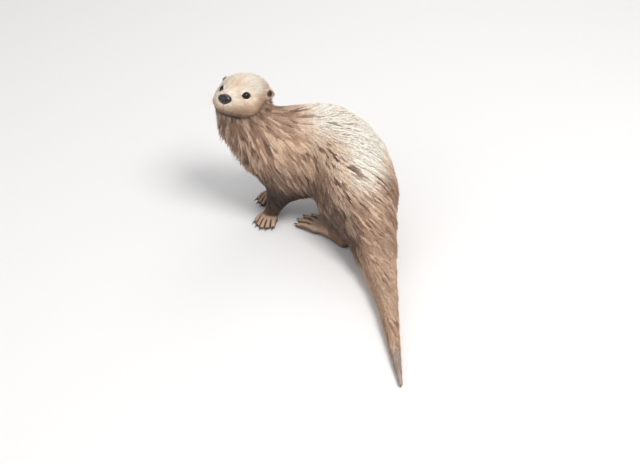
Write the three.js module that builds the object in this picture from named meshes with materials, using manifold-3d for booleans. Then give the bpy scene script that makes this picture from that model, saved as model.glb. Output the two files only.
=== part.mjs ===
// A life-size river otter, crouched on its four feet with its back arched, its tail laid out behind it and
// its head raised and turned back over its left shoulder. Millimetres, +Z up, the floor at Z = 0.
// The flesh is one smooth distance field: tubes along the spine, tapered bones in the limbs and ellipsoids
// for the masses of the head. It is meshed region by region, and thin cuts part it into named pieces.
import * as THREE from "three";
import { mergeVertices } from "three/addons/utils/BufferGeometryUtils.js";
import Module from "manifold-3d";

const wasm = await Module();
wasm.setup();

const V = (x, y, z) => new THREE.Vector3(x, y, z);

// ---------------------------------------------------------------- driving sizes
const SIZE = 1.05; // every length below is for an animal of 645 mm head and body
const GAP = 0.3; // clearance between neighbouring pieces
const HEAD_SIZE = 1.13; // scale of everything drawn in the head's own frame
const EYE_RADIUS = 8.4;
const NOSE_PAD = V(6.5, 12, 8.5); // half sizes, front to back, across and upright
const EAR = V(4.4, 9.5, 10.5);
const CLAW = { length: 10, radius: 2.3, droop: 0.35 };

const LEFT = 1;
const RIGHT = -1;

// ---------------------------------------------------------------- distance fields
// A field is a function of a point: negative inside, in millimetres near its surface.

function smoothUnion(a, b, blend) {
  const h = Math.max(blend - Math.abs(a - b), 0) / blend;
  return Math.min(a, b) - (h * h * blend) / 4;
}

function blendAll(fields, blend) {
  return (p) => fields.reduce((d, field) => smoothUnion(d, field(p), blend), 1e3);
}

function ellipsoid(centre, radii) {
  return (p) => {
    const x = p.x - centre.x;
    const y = p.y - centre.y;
    const z = p.z - centre.z;
    const scaled = Math.hypot(x / radii.x, y / radii.y, z / radii.z);
    if (scaled < 1e-6) return -Math.min(radii.x, radii.y, radii.z);
    return Math.hypot(x, y, z) * (1 - 1 / scaled);
  };
}

const TUBE_MARGIN = 20; // stretches of a tube this much further than its nearest one don't matter

// A tube of elliptical section along a smooth curve. A station is { at, wide, high }, its half sizes across
// and over the curve.
function tube(stations, steps) {
  const curve = new THREE.CatmullRomCurve3(stations.map((s) => s.at), false, "centripetal");
  const rings = [];
  for (let i = 0; i <= steps; i++) {
    const t = i / steps;
    const place = t * (stations.length - 1);
    const k = Math.min(Math.floor(place), stations.length - 2);
    const share = place - k;
    const ease = share * share * (3 - 2 * share);
    const along = curve.getTangent(t);
    const over = V(0, 0, 1).addScaledVector(along, -along.z);
    if (over.lengthSq() < 1e-4) over.set(1, 0, 0);
    over.normalize();
    rings.push({
      at: curve.getPoint(t),
      along,
      over,
      across: over.clone().cross(along),
      wide: THREE.MathUtils.lerp(stations[k].wide, stations[k + 1].wide, ease),
      high: THREE.MathUtils.lerp(stations[k].high, stations[k + 1].high, ease),
    });
  }
  const along = rings.slice(1).map((ring, i) => ring.at.clone().sub(rings[i].at));
  const offset = V(0, 0, 0);
  const axis = V(0, 0, 0);
  const segmentDistance = (i, p) => {
    const [a, b] = [rings[i], rings[i + 1]];
    offset.subVectors(p, a.at);
    const share = THREE.MathUtils.clamp(offset.dot(along[i]) / along[i].lengthSq(), 0, 1);
    offset.addScaledVector(along[i], -share);
    const wide = THREE.MathUtils.lerp(a.wide, b.wide, share);
    const high = THREE.MathUtils.lerp(a.high, b.high, share);
    const s = offset.dot(axis.lerpVectors(a.across, b.across, share).normalize()) / wide;
    const u = offset.dot(axis.lerpVectors(a.over, b.over, share).normalize()) / high;
    const t = offset.dot(axis.lerpVectors(a.along, b.along, share).normalize()) / Math.min(wide, high);
    const scaled = Math.hypot(s, u, t);
    return scaled < 1e-6 ? -Math.min(wide, high) : offset.length() * (1 - 1 / scaled);
  };
  const reach = new Float64Array(rings.length);
  return (p) => {
    let least = Infinity;
    for (let i = 0; i < rings.length; i++) {
      reach[i] = rings[i].at.distanceTo(p);
      least = Math.min(least, reach[i]);
    }
    let d = Infinity;
    for (let i = 0; i < along.length; i++) {
      if (Math.min(reach[i], reach[i + 1]) < least + TUBE_MARGIN) d = Math.min(d, segmentDistance(i, p));
    }
    return d;
  };
}

// A limb is a chain of tapered bones. A joint is { at, r }, its place and the limb's radius there.
const joint = (x, y, z, r) => ({ at: V(x, y, z), r });

function bone(from, to) {
  const run = to.at.clone().sub(from.at);
  const lengthSq = run.lengthSq();
  const offset = V(0, 0, 0);
  return (p) => {
    offset.subVectors(p, from.at);
    const share = THREE.MathUtils.clamp(offset.dot(run) / lengthSq, 0, 1);
    offset.addScaledVector(run, -share);
    return offset.length() - THREE.MathUtils.lerp(from.r, to.r, share);
  };
}

const limbOf = (joints, blend) => blendAll(joints.slice(1).map((to, i) => bone(joints[i], to)), blend);

// A frame of local axes: x forward, y to the animal's left, z up.
function localFrame(origin, forward, roll = 0) {
  const x = forward.clone().normalize();
  const y = V(0, 0, 1).cross(x).normalize();
  const z = x.clone().cross(y);
  const rolled = new THREE.Matrix4().makeBasis(x, y, z).multiply(new THREE.Matrix4().makeRotationX(roll));
  return rolled.setPosition(origin);
}

// The field of a shape drawn in a local frame.
function placed(field, frame) {
  const inverse = frame.clone().invert();
  const scale = V(0, 0, 0).setFromMatrixScale(frame).x;
  const local = V(0, 0, 0);
  return (p) => field(local.copy(p).applyMatrix4(inverse)) * scale;
}

// ---------------------------------------------------------------- the spine, from tail tip to nape
const station = (x, y, z, wide, high) => ({ at: V(x, y, z), wide, high });

const TRUNK = {
  tailTip: station(145, -340, 7, 5.5, 6.5),
  tailEnd: station(141, -290, 10, 8.5, 10),
  tailThird: station(137, -235, 14.5, 13.5, 14.5),
  tailMiddle: station(133, -172, 19, 18.5, 19),
  tailThick: station(127, -105, 26, 26, 26),
  tailBase: station(118, -42, 35, 36, 35),
  tailRoot: station(109, 8, 52, 48, 49),
  rump: station(98, 52, 79, 60, 66),
  pelvis: station(84, 102, 107, 72, 80),
  lumbar: station(62, 172, 139, 83, 91),
  midBack: station(19, 214, 153, 85, 93),
  thorax: station(-34, 217, 155, 81, 91),
  shoulder: station(-76, 203, 155, 73, 82),
  chest: station(-101, 192, 154, 61, 63),
};
const NECK = {
  inChest: station(-62, 210, 152, 64, 69),
  neckBase: station(-111, 207, 184, 67, 61),
  neckMiddle: station(-151, 207, 218, 61, 60),
  nape: station(-167, 211, 250, 51, 50),
  inHead: station(-164, 210, 276, 42, 36),
};
const BELLY = { at: V(-26, 190, 106), radii: V(64, 62, 56) };
const trunkField = tube(Object.values(TRUNK), 90);
const neckField = tube(Object.values(NECK), 30);

// ---------------------------------------------------------------- the head
const HEAD_AT = V(-161, 205, 280);
const headYaw = THREE.MathUtils.degToRad(27); // to the animal's right of straight towards -Y
const headPitch = THREE.MathUtils.degToRad(25); // nose up
const headRoll = THREE.MathUtils.degToRad(1); // left ear lower
const headForward = V(
  -Math.sin(headYaw) * Math.cos(headPitch),
  -Math.cos(headYaw) * Math.cos(headPitch),
  Math.sin(headPitch),
);
const HEAD_FRAME = localFrame(HEAD_AT, headForward, -headRoll).scale(V(HEAD_SIZE, HEAD_SIZE, HEAD_SIZE));

const EYE_AT = V(27, 22, 8.5);
const EAR_AT = V(-15, 46.5, 17);
const NOSE_AT = V(60, 0, -1);
const MOUTH = V(4, 0, -20.5); // the corner of the mouth, which runs forwards from here

const bothSides = (x, y, z, radii) => [ellipsoid(V(x, y, z), radii), ellipsoid(V(x, -y, z), radii)];

const headLocal = blendAll(
  [
    ellipsoid(V(-14, 0, 7), V(50, 46, 36)), // cranium
    ...bothSides(-6, 26, -11, V(34, 23, 25)), // jaw muscles and cheeks
    ...bothSides(14, 24, -5, V(26, 18, 19)), // cheekbones
    ellipsoid(V(32, 0, -7), V(31, 28, 20)), // muzzle
    ellipsoid(V(28, 0, 5), V(30, 18, 14)), // bridge of the nose
    ...bothSides(45, 14, -9, V(16, 15.5, 13)), // whisker pads
    ellipsoid(V(34, 0, -24), V(23, 19, 10)), // chin
    ...bothSides(21, 19, 17.5, V(14, 11, 8)), // brows
  ],
  9,
);
const headField = placed(headLocal, HEAD_FRAME);

// ---------------------------------------------------------------- limbs
const ANKLE_BLEND = 9;

// Each leg runs from inside the body to the wrist or heel. Its foot stands in a frame of its own.
const LEGS = {
  front_left: {
    shoulder: joint(-78, 190, 150, 50),
    elbow: joint(-74, 160, 98, 34),
    forearm: joint(-93, 160, 52, 20),
    wrist: joint(-104, 170, 20, 15),
    heel: V(-100, 180, 0),
    heading: V(-0.42, -0.9, 0),
  },
  front_right: {
    shoulder: joint(-90, 232, 150, 50),
    elbow: joint(-82, 262, 98, 34),
    forearm: joint(-92, 258, 52, 20),
    wrist: joint(-99, 248, 20, 15),
    heel: V(-93, 258, 0),
    heading: V(-0.55, -0.83, 0),
  },
  hind_left: {
    hip: joint(66, 110, 106, 60),
    thigh: joint(44, 118, 84, 44),
    knee: joint(32, 110, 64, 32),
    shin: joint(41, 88, 38, 21),
    ankle: joint(49, 74, 20, 15),
    heel: V(53, 66, 0),
    heading: V(-0.66, 0.75, 0),
  },
  hind_right: {
    hip: joint(100, 120, 106, 60),
    thigh: joint(116, 150, 84, 46),
    knee: joint(116, 164, 66, 34),
    shin: joint(128, 126, 38, 21),
    ankle: joint(134, 98, 20, 15),
    heel: V(136, 86, 0),
    heading: V(-0.24, 0.97, 0),
  },
};

// A foot is drawn heel to toes along +x, standing on z = 0. Its toes fan out from the ball and are webbed.
const ANKLE = 27; // height of the cut between leg and foot
const FRONT_FOOT = {
  ballAt: 30,
  ballWide: 17,
  heelWide: 13,
  toeRadius: 5.8,
  toes: [22, 28, 31, 29, 24], // lengths, from the inner toe
  fan: 9, // degrees between neighbouring toes
};
const HIND_FOOT = {
  ballAt: 80,
  ballWide: 22,
  heelWide: 14,
  toeRadius: 6.8,
  toes: [33, 41, 47, 49, 43],
  fan: 9,
};

function toesOf(foot, side) {
  return foot.toes.map((length, i) => {
    const place = 2 - i; // the first toe is the inner one
    const angle = THREE.MathUtils.degToRad(foot.fan * place * -side);
    const heading = V(Math.cos(angle), Math.sin(angle), 0);
    const base = V(foot.ballAt - 2 * Math.abs(place), -side * place * foot.ballWide * 0.42, 9);
    const knuckle = base.clone().addScaledVector(heading, length * 0.5).setZ(11);
    const tip = base.clone().addScaledVector(heading, length).setZ(5.5);
    return { base, knuckle, tip, heading, length };
  });
}

function footLocal(foot, side) {
  const r = foot.toeRadius;
  const toes = toesOf(foot, side);
  const palm = blendAll(
    [
      tube(
        [
          station(2, 0, 11, foot.heelWide, 12),
          station(foot.ballAt * 0.5, 0, 10, foot.heelWide * 1.05, 11),
          station(foot.ballAt, 0, 8.5, foot.ballWide, 9.5),
        ],
        12,
      ),
      ellipsoid(V(foot.ballAt, 0, 8), V(16, foot.ballWide + 2, 9)),
    ],
    8,
  );
  const digits = toes.map((t) =>
    tube(
      [
        { at: t.base, wide: r, high: r },
        { at: t.knuckle, wide: r, high: r },
        { at: t.tip, wide: r * 0.86, high: r * 0.8 },
      ],
      10,
    ),
  );
  const webs = toes.slice(1).map((t, i) => {
    const middle = t.knuckle.clone().add(toes[i].knuckle).multiplyScalar(0.5).setZ(5.5);
    const reach = 0.3 * (t.length + toes[i].length);
    const heading = t.heading.clone().add(toes[i].heading);
    return placed(ellipsoid(V(0, 0, 0), V(reach, 8, 3)), localFrame(middle, heading));
  });
  const fingers = digits.reduce((a, b) => (p) => Math.min(a(p), b(p)));
  const skin = webs.reduce((a, b) => (p) => Math.min(a(p), b(p)));
  return (p) => smoothUnion(smoothUnion(fingers(p), skin(p), 3), palm(p), 7);
}

const JOINT_BLEND = 14;
const limbs = Object.entries(LEGS).map(([name, { heel, heading, ...joints }]) => {
  const side = name.endsWith("left") ? LEFT : RIGHT;
  const foot = name.startsWith("front") ? FRONT_FOOT : HIND_FOOT;
  const frame = localFrame(heel, heading);
  const legField = limbOf(Object.values(joints), JOINT_BLEND);
  const footField = placed(footLocal(foot, side), frame);
  return {
    name,
    side,
    foot,
    frame,
    heel,
    legField,
    pawField: (p) => smoothUnion(legField(p), footField(p), ANKLE_BLEND),
  };
});

// ---------------------------------------------------------------- the whole flesh
const NECK_BLEND = 40;
const LIMB_BLEND = 30;
const HEAD_BLEND = 16;

const bellyField = ellipsoid(BELLY.at, BELLY.radii);

function fleshField(p) {
  let d = smoothUnion(trunkField(p), neckField(p), NECK_BLEND);
  if (p.z < 200) d = smoothUnion(d, bellyField(p), LIMB_BLEND);
  for (const limb of limbs) {
    if (p.z < 230) d = smoothUnion(d, limb.legField(p), LIMB_BLEND);
  }
  if (p.z > 160) d = smoothUnion(d, headField(p), HEAD_BLEND);
  return d;
}

// ---------------------------------------------------------------- from a field to a closed mesh
// Each grid cell is split into six tetrahedra round its main diagonal, and the surface crosses each in one
// or two triangles, so the mesh is always closed. Corners are numbered by bits: 1 for x, 2 for y, 4 for z.
const TETRAHEDRA = [[0, 1, 3, 7], [0, 3, 2, 7], [0, 2, 6, 7], [0, 6, 4, 7], [0, 4, 5, 7], [0, 5, 1, 7]];
const ONE_FIRST = { 1: [0, 1, 2, 3], 2: [1, 0, 3, 2], 4: [2, 0, 1, 3], 8: [3, 0, 2, 1] };
const TWO_FIRST = {
  3: [0, 1, 2, 3], 5: [0, 2, 3, 1], 9: [0, 3, 1, 2], 6: [1, 2, 0, 3], 10: [1, 3, 2, 0], 12: [2, 3, 0, 1],
};
const LEAST_VALUE = 0.02; // of a cell: keeps the crossings off the grid points

function surfaceOf(field, box, cell) {
  const counts = box.getSize(V(0, 0, 0)).divideScalar(cell).ceil().addScalar(3);
  const [nx, ny, nz] = counts.toArray();
  const start = box.min.clone().addScalar(-cell);
  const id = (i, j, k) => i + nx * (j + ny * k);
  const gridPoint = (n) => V(n % nx, Math.floor(n / nx) % ny, Math.floor(n / (nx * ny)));
  const place = (n) => gridPoint(n).multiplyScalar(cell).add(start);
  const values = new Float64Array(nx * ny * nz);
  for (let n = 0; n < values.length; n++) {
    const p = place(n);
    const value = field(p);
    values[n] = Math.abs(value) < LEAST_VALUE * cell ? LEAST_VALUE * cell * (value < 0 ? -1 : 1) : value;
  }
  const points = [];
  const crossings = new Map();
  const crossing = (a, b) => {
    const key = a < b ? a * values.length + b : b * values.length + a;
    if (!crossings.has(key)) {
      crossings.set(key, points.length);
      points.push(place(a).lerp(place(b), values[a] / (values[a] - values[b])));
    }
    return crossings.get(key);
  };
  const triangles = [];
  for (let k = 0; k < nz - 1; k++)
    for (let j = 0; j < ny - 1; j++)
      for (let i = 0; i < nx - 1; i++) {
        const corner = (c) => id(i + (c & 1), j + ((c >> 1) & 1), k + (c >> 2));
        for (const tetrahedron of TETRAHEDRA) {
          const v = tetrahedron.map(corner);
          const inside = v.reduce((bits, n, c) => bits | ((values[n] < 0) << c), 0);
          if (inside === 0 || inside === 15) continue;
          if (TWO_FIRST[inside]) {
            const [a, b, c, d] = TWO_FIRST[inside].map((n) => v[n]);
            const quad = [crossing(a, c), crossing(a, d), crossing(b, d), crossing(b, c)];
            triangles.push([quad[0], quad[1], quad[2]], [quad[0], quad[2], quad[3]]);
          } else {
            const [a, b, c, d] = (ONE_FIRST[inside] ?? ONE_FIRST[15 - inside]).map((n) => v[n]);
            const triangle = [crossing(a, b), crossing(a, c), crossing(a, d)];
            triangles.push(ONE_FIRST[inside] ? triangle : triangle.reverse());
          }
        }
      }
  return { points, triangles };
}

// A Newton step along the gradient, kept short.
function drawnOnto(field, start, cell) {
  const h = cell * 0.02;
  const near = (x, y, z) => field(V(x, y, z).multiplyScalar(h).add(start));
  const ahead = V(near(1, 0, 0), near(0, 1, 0), near(0, 0, 1));
  const behind = V(near(-1, 0, 0), near(0, -1, 0), near(0, 0, -1));
  const slope = ahead.sub(behind).divideScalar(2 * h);
  const move = slope.multiplyScalar(-field(start) / Math.max(slope.lengthSq(), 0.25));
  return move.clampLength(0, cell * 0.15).add(start);
}

// Each point moves to the middle of its neighbours and back onto the surface, which evens out the triangles.
function relaxed(field, { points, triangles }, cell) {
  const neighbours = points.map(() => new Set());
  for (const [a, b, c] of triangles) {
    neighbours[a].add(b);
    neighbours[b].add(c);
    neighbours[c].add(a);
  }
  const moved = points.map((p, i) => {
    const middle = V(0, 0, 0);
    for (const n of neighbours[i]) middle.add(points[n]);
    return drawnOnto(field, middle.divideScalar(neighbours[i].size), cell);
  });
  return { points: moved, triangles };
}

// ---------------------------------------------------------------- fewer triangles
// Edges are collapsed cheapest first, by the squared distance to the planes of the faces they replace.
const QUADRIC = 10; // numbers in a symmetric four by four matrix
const EVENNESS = 1e-3; // what a long edge costs, so that flat stretches keep even triangles

function planeQuadric(n, d, weight) {
  const { x, y, z } = n;
  return [x * x, x * y, x * z, x * d, y * y, y * z, y * d, z * z, z * d, d * d].map((q) => q * weight);
}

function quadricError(q, p) {
  return (
    q[0] * p.x * p.x + 2 * q[1] * p.x * p.y + 2 * q[2] * p.x * p.z + 2 * q[3] * p.x + q[4] * p.y * p.y +
    2 * q[5] * p.y * p.z + 2 * q[6] * p.y + q[7] * p.z * p.z + 2 * q[8] * p.z + q[9]
  );
}

function bestPlace(q, a, b) {
  const middle = a.clone().add(b).multiplyScalar(0.5);
  const system = new THREE.Matrix3().set(q[0], q[1], q[2], q[1], q[4], q[5], q[2], q[5], q[7]);
  if (Math.abs(system.determinant()) > 1e-3) {
    const solved = V(-q[3], -q[6], -q[8]).applyMatrix3(system.invert());
    if (solved.distanceTo(middle) < a.distanceTo(b)) return solved;
  }
  return middle;
}

class Heap {
  items = [];
  push(item) {
    const a = this.items;
    let i = a.push(item) - 1;
    while (i > 0) {
      const parent = (i - 1) >> 1;
      if (a[parent].cost <= a[i].cost) break;
      [a[parent], a[i]] = [a[i], a[parent]];
      i = parent;
    }
  }
  pop() {
    const a = this.items;
    const top = a[0];
    const last = a.pop();
    if (a.length) {
      a[0] = last;
      for (let i = 0; ; ) {
        let child = 2 * i + 1;
        if (child >= a.length) break;
        if (child + 1 < a.length && a[child + 1].cost < a[child].cost) child++;
        if (a[i].cost <= a[child].cost) break;
        [a[child], a[i]] = [a[i], a[child]];
        i = child;
      }
    }
    return top;
  }
}

function simplified({ points, triangles }, target) {
  const faces = triangles.map((t) => [...t]);
  const around = points.map(() => new Set());
  const quadrics = points.map(() => new Array(QUADRIC).fill(0));
  const version = points.map(() => 0);
  const normal = (a, b, c) => b.clone().sub(a).cross(c.clone().sub(a));
  faces.forEach((f, i) => {
    const n = normal(...f.map((v) => points[v]));
    const area = n.length() / 2;
    n.normalize();
    const q = planeQuadric(n, -n.dot(points[f[0]]), area);
    for (const v of f) {
      around[v].add(i);
      q.forEach((value, k) => (quadrics[v][k] += value));
    }
  });
  const neighbours = (v) => new Set([...around[v]].flatMap((f) => faces[f]).filter((w) => w !== v));
  const heap = new Heap();
  const offer = (a, b) => {
    const q = quadrics[a].map((value, k) => value + quadrics[b][k]);
    const place = bestPlace(q, points[a], points[b]);
    const length = points[a].distanceToSquared(points[b]) * EVENNESS;
    heap.push({ a, b, place, cost: quadricError(q, place) + length, stamp: version[a] + version[b] });
  };
  points.forEach((_, a) => neighbours(a).forEach((b) => a < b && offer(a, b)));

  const turnsOver = (v, other, place) =>
    [...around[v]].some((f) => {
      if (faces[f].includes(other)) return false;
      const before = normal(...faces[f].map((w) => points[w]));
      const after = normal(...faces[f].map((w) => (w === v ? place : points[w])));
      return before.dot(after) < 0.25 * before.length() * after.length() || after.length() < 1e-6;
    });

  let left = faces.length;
  while (left > target && heap.items.length) {
    const { a, b, place, stamp } = heap.pop();
    if (!around[a].size || !around[b].size || stamp !== version[a] + version[b]) continue;
    const around2 = neighbours(b);
    if (!around2.has(a)) continue;
    const shared = [...neighbours(a)].filter((v) => around2.has(v));
    if (shared.length !== 2 || turnsOver(a, b, place) || turnsOver(b, a, place)) continue;
    points[a].copy(place);
    quadrics[a] = quadrics[a].map((value, k) => value + quadrics[b][k]);
    for (const f of [...around[b]]) {
      if (faces[f].includes(a)) {
        for (const v of faces[f]) around[v].delete(f);
        faces[f] = null;
        left--;
      } else {
        faces[f][faces[f].indexOf(b)] = a;
        around[a].add(f);
      }
    }
    around[b].clear();
    version[a] += version[b] + 1;
    neighbours(a).forEach((v) => offer(a, v));
  }
  return { points, triangles: faces.filter(Boolean) };
}

// ---------------------------------------------------------------- solids
function solidOfMesh({ points, triangles }) {
  const used = new Map();
  const vertices = [];
  const index = triangles.flat().map((v) => {
    if (!used.has(v)) {
      used.set(v, used.size);
      vertices.push(...points[v].toArray());
    }
    return used.get(v);
  });
  return new wasm.Manifold(
    new wasm.Mesh({ numProp: 3, vertProperties: new Float32Array(vertices), triVerts: new Uint32Array(index) }),
  );
}

function solidOfGeometry(geometry, matrix) {
  const bare = geometry.clone();
  bare.deleteAttribute("normal");
  bare.deleteAttribute("uv");
  const merged = mergeVertices(matrix ? bare.applyMatrix4(matrix) : bare, 1e-4);
  return new wasm.Manifold(
    new wasm.Mesh({
      numProp: 3,
      vertProperties: new Float32Array(merged.getAttribute("position").array),
      triVerts: new Uint32Array(merged.index.array),
    }),
  );
}

function flesh(shape, box, { cell, faces }) {
  const field = (p) => Math.max(shape(p), box.distanceToPoint(p) - cell * 0.25);
  let mesh = surfaceOf(field, box, cell);
  for (let pass = 0; pass < 2; pass++) mesh = relaxed(field, mesh, cell);
  return solidOfMesh(simplified(mesh, faces));
}

const boxAround = (points, margin) => new THREE.Box3().setFromPoints(points).expandByScalar(margin);

// Everything more than `clear` beyond the plane through a point, as a big block.
const FAR = 900;

function beyond(point, normal, clear = GAP / 2) {
  const turn = new THREE.Quaternion().setFromUnitVectors(V(0, 0, 1), normal.clone().normalize());
  const centre = point.clone().addScaledVector(normal.clone().normalize(), FAR + clear);
  const matrix = new THREE.Matrix4().compose(centre, turn, V(1, 1, 1));
  return solidOfGeometry(new THREE.BoxGeometry(2 * FAR, 2 * FAR, 2 * FAR), matrix);
}

const FLOOR = beyond(V(0, 0, 0), V(0, 0, -1), 0);

// A block in a frame of its own, from its lowest to its highest corner, grown all round.
function block(frame, low, high, grow) {
  const size = high.clone().sub(low).addScalar(2 * grow);
  const centre = high.clone().add(low).multiplyScalar(0.5);
  return solidOfGeometry(new THREE.BoxGeometry(size.x, size.y, size.z).translate(...centre.toArray()), frame);
}

// An ellipsoid with its half sizes along the axes of a frame.
function roundSolid(frame, centre, radii, sides) {
  const matrix = frame.clone().multiply(new THREE.Matrix4().compose(centre, new THREE.Quaternion(), radii));
  return solidOfGeometry(new THREE.SphereGeometry(1, sides, Math.round(sides * 0.6)), matrix);
}

const WORLD = new THREE.Matrix4();
const SIDES = { head: 22, face: 14, leg: 14, ear: 12, earHollow: 10, claw: 6 }; // facets round each solid
const grown = (radii, by) => radii.clone().addScalar(by);

// ---------------------------------------------------------------- parting the body
const cutBetween = (a, b, share) => ({
  at: a.at.clone().lerp(b.at, share),
  normal: b.at.clone().sub(a.at).normalize(),
});
const ahead = (cut) => beyond(cut.at, cut.normal);
const behind = (cut) => beyond(cut.at, cut.normal.clone().negate());

const tailCut = cutBetween(TRUNK.tailBase, TRUNK.tailRoot, 0.6); // both normals point headwards
const bendCut = cutBetween(TRUNK.lumbar, TRUNK.midBack, 0.4);
const neckCut = cutBetween(NECK.neckBase, NECK.neckMiddle, 0.1);

// The head is all that lies in an ellipsoid, which crosses the nape and runs under the chin. The lower jaw
// is all of it in front of the corner of the mouth and below the line of the lips.
const HEAD_ROOM = { at: V(14, 0, 5), radii: V(70, 62, 54) };
const JAW_REACH = V(125, 70, 60);
const headRoom = (grow) => roundSolid(HEAD_FRAME, HEAD_ROOM.at, grown(HEAD_ROOM.radii, grow), SIDES.head);
const jawBlock = (grow) =>
  block(HEAD_FRAME, V(MOUTH.x, -JAW_REACH.y, -JAW_REACH.z), V(JAW_REACH.x, JAW_REACH.y, MOUTH.z), grow);

// A leg is parted from the trunk by an ellipsoid round its shoulder or thigh.
const LEG_ROOMS = {
  front_left: { at: V(-88, 148, 62), radii: V(50, 47, 70) },
  front_right: { at: V(-90, 264, 62), radii: V(50, 47, 70) },
  hind_left: { at: V(30, 95, 54), radii: V(59, 62, 66) },
  hind_right: { at: V(139, 138, 54), radii: V(51, 72, 66) },
};
function legRoom(limb, grow) {
  const { at, radii } = LEG_ROOMS[limb.name];
  return roundSolid(WORLD, at, grown(radii, grow), SIDES.leg);
}

// The room of a foot, seen from above a wedge that widens from behind the heel to beyond the toes.
const FOOT_ROOM = { behind: 20, beyond: 16, heelWide: 24, toesWide: 50, below: 20 };

function footRoom(limb, grow) {
  const back = -FOOT_ROOM.behind - grow;
  const front = limb.foot.ballAt + Math.max(...limb.foot.toes) + FOOT_ROOM.beyond + grow;
  const corner = (x, y) => new THREE.Vector2(x, y + Math.sign(y) * grow);
  const plan = new THREE.Shape([
    corner(back, -FOOT_ROOM.heelWide),
    corner(front, -FOOT_ROOM.toesWide),
    corner(front, FOOT_ROOM.toesWide),
    corner(back, FOOT_ROOM.heelWide),
  ]);
  const depth = ANKLE + FOOT_ROOM.below + 2 * grow;
  const prism = new THREE.ExtrudeGeometry(plan, { depth, bevelEnabled: false });
  return solidOfGeometry(prism.translate(0, 0, -FOOT_ROOM.below - grow), limb.frame);
}

// The grid cell, the margin round the shape's own points and the triangles of each mesh before it is cut.
const BODY_MESH = { cell: 8, margin: 110, faces: 1670 };
const TAIL_MESH = { cell: 3, margin: 60, faces: 504 };
const HEAD_MESH = { cell: 4, reach: V(105, 100, 95), faces: 1100 };
const PAW_MESH = { cell: 2.4, margin: 24, faces: 350 };

const nodes = new Map();
const addNode = (name, solid, material) => nodes.set(name, { solid, material });
const united = (solids) => solids.reduce((a, b) => a.add(b));

const placesOf = (stations) => stations.map((s) => s.at);
const spineBox = boxAround(placesOf([...Object.values(TRUNK), ...Object.values(NECK)]), BODY_MESH.margin);
const footRooms = united(limbs.map((limb) => footRoom(limb, GAP)));
const wholeBody = flesh(fleshField, spineBox, BODY_MESH).subtract(FLOOR);
const body = wholeBody.subtract(footRooms).subtract(headRoom(GAP));

const tailBox = boxAround(placesOf([TRUNK.tailTip, TRUNK.tailMiddle, TRUNK.tailRoot]), TAIL_MESH.margin);
addNode("tail", flesh(fleshField, tailBox, TAIL_MESH).subtract(FLOOR).intersect(behind(tailCut)), "tail_fur");
const torso = body.intersect(ahead(tailCut)).subtract(united(limbs.map((limb) => legRoom(limb, GAP))));
addNode("hindquarters", torso.intersect(behind(bendCut)), "back_fur");
addNode("chest", torso.intersect(ahead(bendCut)).intersect(behind(neckCut)), "back_fur");
addNode("neck", torso.intersect(ahead(neckCut)), "neck_fur");

// ---------------------------------------------------------------- head, eyes, ears and nose
const headBox = new THREE.Box3(HEAD_AT.clone().sub(HEAD_MESH.reach), HEAD_AT.clone().add(HEAD_MESH.reach));
const inHead = (at, side) => V(at.x, at.y * side, at.z);

const EAR_HOLLOW = { at: V(3.8, 0.6, 0.6), radii: V(3.2, 6.6, 7.4) };

function earSolid(side, grow) {
  const turn = new THREE.Euler(0.35 * side, 0.25, 0.75 * side); // leans out and faces forwards
  const frame = HEAD_FRAME.clone().multiply(
    new THREE.Matrix4().compose(inHead(EAR_AT, side), new THREE.Quaternion().setFromEuler(turn), V(1, 1, 1)),
  );
  const whole = roundSolid(frame, V(0, 0, 0), grown(EAR, grow), SIDES.ear);
  return grow ? whole : whole.subtract(roundSolid(frame, EAR_HOLLOW.at, EAR_HOLLOW.radii, SIDES.earHollow));
}

let head = flesh(fleshField, headBox, HEAD_MESH).intersect(headRoom(0));
for (const [side, word] of [[LEFT, "left"], [RIGHT, "right"]]) {
  const eyeAt = inHead(EYE_AT, side);
  const radii = V(EYE_RADIUS, EYE_RADIUS, EYE_RADIUS);
  addNode(`eye_${word}`, roundSolid(HEAD_FRAME, eyeAt, radii, SIDES.face), "eye");
  addNode(`ear_${word}`, earSolid(side, 0), "ear_fur");
  const eyeSocket = roundSolid(HEAD_FRAME, eyeAt, grown(radii, GAP), SIDES.face);
  head = head.subtract(eyeSocket).subtract(earSolid(side, GAP));
}
addNode("nose", roundSolid(HEAD_FRAME, NOSE_AT, NOSE_PAD, SIDES.face), "nose_skin");
head = head.subtract(roundSolid(HEAD_FRAME, NOSE_AT, grown(NOSE_PAD, GAP), SIDES.face));
addNode("head", head.subtract(jawBlock(GAP)), "head_fur");
addNode("lower_jaw", head.intersect(jawBlock(0)), "jaw_fur");

// ---------------------------------------------------------------- legs, paws and claws
function clawSolid(limb, toe, grow) {
  const { length, radius, droop } = CLAW;
  const cone = new THREE.ConeGeometry(radius + grow, length + 2 * grow, SIDES.claw).rotateZ(-Math.PI / 2);
  cone.translate(length / 2, 0, 0);
  const root = toe.tip.clone().addScaledVector(toe.heading, 2).setZ(7);
  const frame = localFrame(root, toe.heading.clone().add(V(0, 0, -droop)));
  return solidOfGeometry(cone, limb.frame.clone().multiply(frame));
}

for (const limb of limbs) {
  addNode(`${limb.name}_leg`, body.intersect(legRoom(limb, 0)), "leg_fur");
  const toes = toesOf(limb.foot, limb.side);
  const reach = toes.map((toe) => toe.tip.clone().applyMatrix4(limb.frame));
  const box = boxAround([limb.heel, ...reach], PAW_MESH.margin);
  box.max.z = ANKLE + 10; // a little above the cut at the ankle
  let paw = flesh(limb.pawField, box, PAW_MESH).subtract(FLOOR).intersect(footRoom(limb, 0));
  toes.forEach((toe, i) => {
    addNode(`${limb.name}_claw_${i + 1}`, clawSolid(limb, toe, 0), "claw");
    paw = paw.subtract(clawSolid(limb, toe, GAP));
  });
  addNode(`${limb.name}_paw`, paw, "paw_fur");
}

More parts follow.
